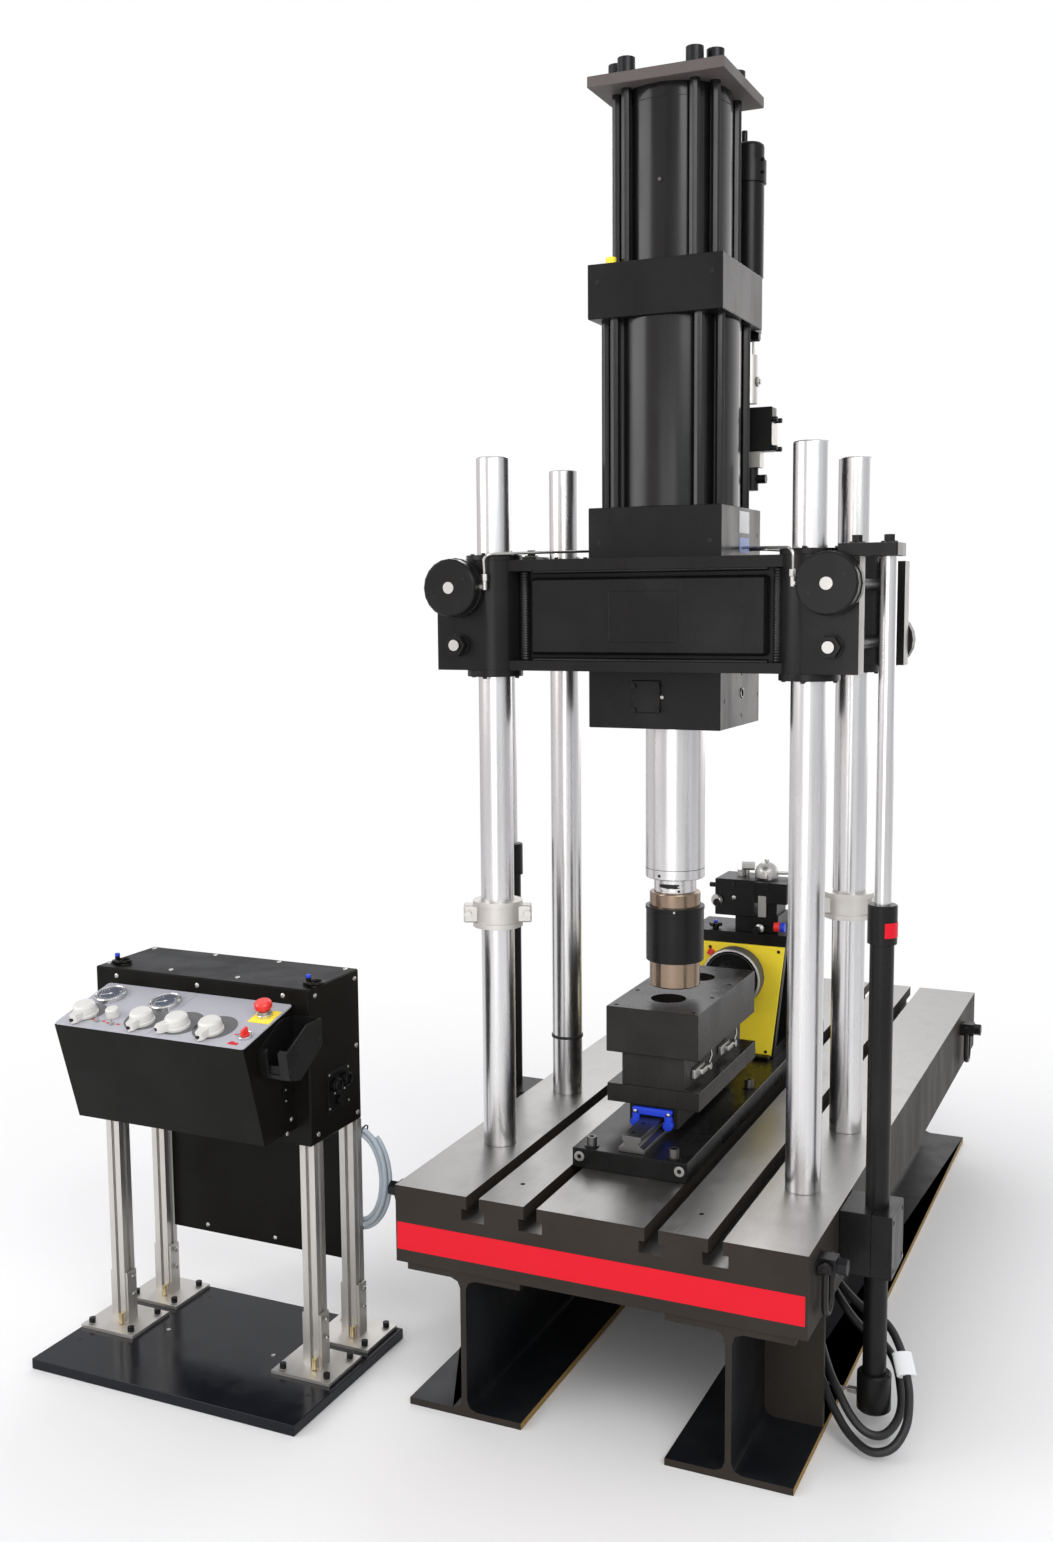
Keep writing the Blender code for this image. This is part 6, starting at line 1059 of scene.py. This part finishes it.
# %% Dial fields and painted shade
def on_panel(across, down, height=0.0):
    """A point over the panel, from its middle and its back edge."""
    return PANEL_BACK + Vector((across, 0, 0)) + PANEL_DOWN * down + PANEL_NORMAL * height


def flat_on_panel(place, along_x=Vector(RIGHT)):
    """The matrix of something that lies flat on the panel."""
    stand = Matrix(((*along_x, 0), (*PANEL_NORMAL.cross(along_x), 0), (*PANEL_NORMAL, 0), (0, 0, 0, 1))).transposed()
    stand.translation = place
    return stand


built("dial_fields_and_knob_shade", dial_grey, "frame", "panel_grey",
      *[(drum, on_panel(across, 0.131, 0.0001), PANEL_NORMAL, 0.0500, 0.0005, 48)
        for across in (-0.0475, 0.0485, 0.1375)],
      # Painted shade: a smaller dark disc under the flow knob.
      (drum, on_panel(-0.2055, 0.135, 0.0001), PANEL_NORMAL, 0.0400, 0.0005, 48))

# %% [markdown]
# ## Gauges
# Two gauges look out of bright bezels. Each has a blue-grey face with marks round most of a circle,
# longer at every fifth, and a pointer. The marks are thin slabs, which stay sharp at any distance
# where a drawn picture would blur.

# %% Gauge faces, marks and bezels
GAUGES = ((-0.2025, 0.060), (-0.0455, 0.063))


def gauge_print(shape, across, down):
    """The marks and the pointer of a gauge."""
    for number in range(21):
        angle = math.radians(-225 + 13.5 * number)
        length = 0.0060 if number % 5 == 0 else 0.0032
        outward = Vector((math.cos(angle), 0, 0)) - PANEL_DOWN * math.sin(angle)
        middle = on_panel(across, down, 0.0078) + outward * (0.0262 - length / 2)
        slab(shape, (-length / 2, -0.0005, -HAIR), (length / 2, 0.0005, HAIR), 0.0, flat_on_panel(middle, outward))
    angle = math.radians(210)
    pointer = Vector((math.cos(angle), 0, 0)) - PANEL_DOWN * math.sin(angle)
    slab(shape, (-0.006, -0.0008, -HAIR), (0.021, 0.0008, HAIR), 0.0,
         flat_on_panel(on_panel(across, down, 0.0084), pointer))
    drum(shape, on_panel(across, down, 0.0078), PANEL_NORMAL, 0.003, 0.0012, 20)


built("gauge_faces", gauge_blue, "frame", "panel_grey",
      *[(drum, on_panel(*gauge, 0.0072), PANEL_NORMAL, 0.0288, 0.0004, 48) for gauge in GAUGES])
built("gauge_marks", label_white, "frame", "panel_grey", *[(gauge_print, *gauge) for gauge in GAUGES])
built("panel_bezels", chrome, "frame", "cast_alloy",
      *[(ring, on_panel(*gauge, 0.0003), PANEL_NORMAL, 0.0332, 0.0360, 0.0096, 0.0012, 56) for gauge in GAUGES],
      (ring, on_panel(0.2295, 0.150, HAIR), PANEL_NORMAL, 0.0148, 0.0170, 0.0056),
      (ring, on_panel(0.2225, 0.062, HAIR), PANEL_NORMAL, 0.0148, 0.0172, 0.0090))

# %% [markdown]
# ## Stop field, red marks and knobs
# The emergency stop has a yellow field, and short red marks point out the settings. Each big knob has an eye hole in
# its beak, whose shade is painted as a dark drum. The eye rides with its knob, so it is a part of its own.

# %% Fields, marks and eyes
built("stop_field", yellow_paint, "frame", "yellow_paint",
      (slab, (-0.0275, -0.0275, 0.0001), (0.0275, 0.0275, 0.0008), 0.0002, flat_on_panel(on_panel(0.2225, 0.064))))
built("panel_marks", stripe_red, "frame", "red_plastic",
      *[(slab, (-0.0045, -0.0022, 0.0001), (0.0045, 0.0022, 0.0004), 0.0, flat_on_panel(on_panel(across, down)))
        for across, down in ((-0.170, 0.163), (-0.141, 0.163), (-0.126, 0.168), (-0.097, 0.168), (0.204, 0.146),
                             (0.214, 0.176))],
      (slab, (-0.0120, -0.0045, 0.0001), (0.0120, 0.0045, 0.0004), 0.0, flat_on_panel(on_panel(0.219, 0.1815))))
KNOBS = (("flow_knob", -0.2055, 0), ("pressure_knob", -0.0475, 0), ("speed_knob", 0.0485, -35),
         ("direction_knob", 0.1375, 0))
KNOB_DOWN = 0.145
for node, across, turn in KNOBS:
    swing = math.radians(turn)
    reach = Vector((math.sin(swing), 0, 0)) + PANEL_DOWN * math.cos(swing)
    # Painted shade: a dark drum in the eye hole of the knob.
    built(node + "_eye", black_bolts, body_of_node[node], "black_paint",
          (drum, on_panel(across, KNOB_DOWN, 0.0115) + reach * 0.0463, reach, 0.0044, 0.0041, 20, 0.0005))
built("panel_seam", dial_grey, "frame", "panel_grey",
      (slab, (0.0008, -0.190, 0.0001), (0.0014, -0.004, 0.0003), 0.0, flat_on_panel(on_panel(0.0, 0.0))))

# %% [markdown]
# ## Screws on the console box
# Domed screws hold the sheet metal together. One low dome does for all of them, because their slots
# are too small to see from where the machine is looked at.

# %% Cabinet screws
CABINET_LEFT, CABINET_RIGHT, CABINET_FRONT, CABINET_TOP = -1.252, -0.663, -0.542, 0.915
HOUSING_SIDE = -0.7032
built("cabinet_screws", bolt_steel, "frame", "chrome",
      *[(dome, (x, CABINET_FRONT - HAIR, 0.897), FRONT, 0.0058, 0.0034) for x in (-1.190, -0.960, -0.728)],
      *[(dome, (x, y, CABINET_TOP + HAIR), UP, 0.0058, 0.0034)
        for x, y in ((-1.240, -0.507), (-1.060, -0.507), (-0.874, -0.507), (-1.236, -0.345), (-1.053, -0.345),
                     (-0.870, -0.345), (-0.6875, -0.345))],
      *[(dome, (x, y, z), way, 0.0058, 0.0034)
        for y, z in ((-0.346, 0.896), (-0.5145, 0.896), (-0.345, 0.737), (-0.344, 0.576), (-0.513, 0.578))
        for way, x in ((RIGHT, CABINET_RIGHT + HAIR), (LEFT, CABINET_LEFT - HAIR))],
      *[(dome, (HOUSING_SIDE + HAIR, y, z), RIGHT, 0.0055, 0.0034) for y, z in ((-0.5589, 0.6226), (-0.5764, 0.5950))],
      *[(dome, (x, -0.3380, 0.2240), FRONT, 0.0058, 0.0034) for x in (-1.1059, -0.9065)])

# %% [markdown]
# ## Sockets
# A block of sockets is let into the right side, below the cradle, on a thin plate with a screw in
# each corner. A drum with a ring in front of it reads as a round connector.

# %% Console sockets
SOCKET_FACE = CABINET_RIGHT + 0.0026
ROUND_SOCKETS = ((-0.4440, 0.673), (-0.4030, 0.675))
socket_parts = []
for y, z in ROUND_SOCKETS:
    socket_parts += [(drum, (SOCKET_FACE, y, z), RIGHT, 0.0170, 0.010, 32, 0.0015),
                     (ring, (SOCKET_FACE + 0.010, y, z), RIGHT, 0.0120, 0.0150, 0.004)]
built("console_sockets", black_bolts, "frame", "black_paint",
      (slab, (CABINET_RIGHT + 0.0003, -0.472, 0.612), (CABINET_RIGHT + 0.0025, -0.380, 0.706), 0.0008), *socket_parts,
      (drum, (SOCKET_FACE, -0.4285, 0.633), RIGHT, 0.0110, 0.008, 32, 0.0012),
      (slab, (HOUSING_SIDE + HAIR, -0.590, 0.668), (HOUSING_SIDE + 0.0030, -0.574, 0.700), 0.0008))
built("socket_screws", bolt_steel, "frame", "chrome",
      *[(dome, (SOCKET_FACE, y, z), RIGHT, 0.0028, 0.0018, 12)
        for y, z in ((-0.4661, 0.700), (-0.3856, 0.698), (-0.4663, 0.6217), (-0.3856, 0.6187), (-0.444, 0.652),
                     (-0.403, 0.652))],
      *[(dome, (HOUSING_SIDE + 0.0031, -0.582, z), RIGHT, 0.0025, 0.0016, 12) for z in (0.6715, 0.6965)])
built("hoist_eye_plugs", rail_blue, "frame", "black_paint",
      *[(drum, (x, -0.496, 0.9300), UP, 0.0060, 0.0075, 20, 0.001) for x in (-1.225, -0.690)])

# %% [markdown]
# ## Legs and base
# The legs stand in plates on a heavy base, and each is held by two bolts on either side and by one brass bolt in front.
# The places come from the legs' spacing and depths, so all four are alike.

# %% Leg bolts and base plate
BASE_TOP = 0.0255
LEG_DEEPS, LEG_FACE = (-0.511, -0.345), 0.0225
LEGS = [(PANEL_BACK.x + side * LEG_AT, y) for side in (-1, 1) for y in LEG_DEEPS]
built("leg_tab_bolts", bolt_steel, "frame", "chrome",
      *[(dome, (x + way * 0.0292, y, z), (way, 0, 0), 0.0062, 0.0048, 16)
        for x, y in LEGS for way in (-1, 1) for z in (0.1010, 0.1450)])
built("leg_brass_bolts", brass, "frame", "bronze_nickel",
      *[(drum, (x + 0.0120, y - LEG_FACE - 0.0062, 0.0347), UP, 0.0060, 0.0260, 16, 0.001) for x, y in LEGS])
built("base_plate_screws", bolt_steel, "frame", "chrome",
      *[(dome, (x, y, BASE_TOP), UP, 0.0050, 0.0018, 16) for x, y in ((-1.1073, -0.504), (-0.8046, -0.508))])
# Painted shade: the holes in the base plate are thin dark discs.
built("base_plate_hole_shade", black_bolts, "frame", "black_paint",
      *[(drum, (x, y, BASE_TOP), UP, 0.0052, 0.0003, 20)
        for x, y in ((-1.122, -0.3194), (-0.6323, -0.6271), (-1.270, -0.6271), (-0.780, -0.3194))])

# %% [markdown]
# ## Floor
# A plain pale floor carries the machine's shadow and fades to white further out, where only the
# camera sees the glow.

# %% Floor
FLOOR_SIZE = 14.0
floor_shape = bmesh.new()
bmesh.ops.create_grid(floor_shape, x_segments=1, y_segments=1, size=FLOOR_SIZE)
floor_mesh = bpy.data.meshes.new("floor")
floor_shape.to_mesh(floor_mesh)
floor_shape.free()
floor_paint = Paint("pale_floor", (0.80, 0.80, 0.80), 0.6, gloss=0.2)
spread = floor_paint.node("ShaderNodeVectorMath", {"operation": "LENGTH"}, {0: floor_paint.place}, "Value")
seen = floor_paint.node("ShaderNodeLightPath", {}, {}, "Is Camera Ray")
glow = floor_paint.node("ShaderNodeEmission", {}, {"Color": (1, 1, 1, 1), "Strength": 1.0})
fade = floor_paint.ramp(spread, 1.9, 3.4) * seen
painted = Socket(floor_paint, floor_paint.shader.outputs[0])
floor_paint.put(floor_paint.tree.nodes["Material Output"].inputs["Surface"],
                floor_paint.node("ShaderNodeMixShader", {}, {0: fade, 1: painted, 2: glow}))
floor_mesh.materials.append(floor_paint.material)
shown("floor", floor_mesh)
print("floor laid")

# %% [markdown]
# ## Lamps
# Soft, level light shows the finishes without drama. Four large square lamps stand round the
# machine, because small ones would put hard spots on the chrome.


# %% Lamps
def lamp(name, place, aim, size, power):
    """A soft square lamp."""
    light = bpy.data.lights.new(name, "AREA")
    light.shape = "SQUARE"
    light.size = size
    light.energy = power
    made = shown(name, light)
    made.location = place
    made.rotation_euler = (Vector(aim) - Vector(place)).to_track_quat("-Z", "Y").to_euler()


lamp("key", (3.4, -4.0, 4.4), (0, 0, 1.2), 3.0, 140)
lamp("fill", (-4.5, -3.5, 3.2), (0, 0, 1.0), 3.0, 110)
lamp("back", (-1.5, 5.0, 4.5), (0, 0, 1.4), 3.0, 90)
lamp("front", (0.4, -5.0, 1.6), (0, 0.5, 0.8), 2.5, 45)
print("lamps:", len(bpy.data.lights))

# %% [markdown]
# ## What the metal mirrors
# Polished columns look like chrome only when they have something to mirror. Pale and dark walls,
# which reflections see and the camera doesn't, are a band of colours round the horizon, with one
# even grey above them.

# %% Walls and view
WALL_STRENGTH = 2.0
CEILING = (0.42, 0.42, 0.43)
WALLS = ((-180, (0.46, 0.42, 0.42)), (-103, (0.47, 0.43, 0.43)), (-96, (0.42, 0.39, 0.38)), (-92, (0.22, 0.19, 0.17)),
         (-83, (0.24, 0.21, 0.18)), (-78, (0.55, 0.54, 0.52)), (-60, (0.46, 0.49, 0.48)), (-20, (0.42, 0.43, 0.44)),
         (10, (0.30, 0.30, 0.32)), (30, (0.40, 0.40, 0.40)), (50, (0.95, 0.93, 0.92)), (88, (0.95, 0.93, 0.92)),
         (104, (0.38, 0.38, 0.40)), (135, (0.24, 0.25, 0.28)), (155, (0.42, 0.40, 0.40)), (180, (0.46, 0.42, 0.42)))
world = bpy.data.worlds.new("studio")
world.use_nodes = True
bpy.context.scene.world = world
studio = Network(world.node_tree)
direction = studio.node("ShaderNodeTexCoord", {}, {}, "Generated")
across, deep, rise = (studio.node("ShaderNodeSeparateXYZ", {}, {"Vector": direction}, axis) for axis in "XYZ")
bearing = deep.math("ARCTAN2", deep, across) * (1 / math.tau) + 0.5
walls = studio.node("ShaderNodeValToRGB", {"stops": [(degrees / 360 + 0.5, (*shade, 1.0)) for degrees, shade in WALLS]},
                    {"Fac": bearing})
rooms = studio.mixed(studio.ramp(rise, 0.12, 0.42), walls, CEILING)
lit = studio.node("ShaderNodeBackground", {}, {"Color": rooms, "Strength": WALL_STRENGTH})
white = studio.node("ShaderNodeBackground", {}, {"Color": (1, 1, 1, 1)})
seen = studio.node("ShaderNodeLightPath", {}, {}, "Is Camera Ray")
studio.put(studio.tree.nodes["World Output"].inputs["Surface"],
           studio.node("ShaderNodeMixShader", {}, {0: seen, 1: lit, 2: white}))
bpy.context.scene.view_settings.view_transform = "Standard"
print("walls:", len(WALLS), "colours round the horizon")
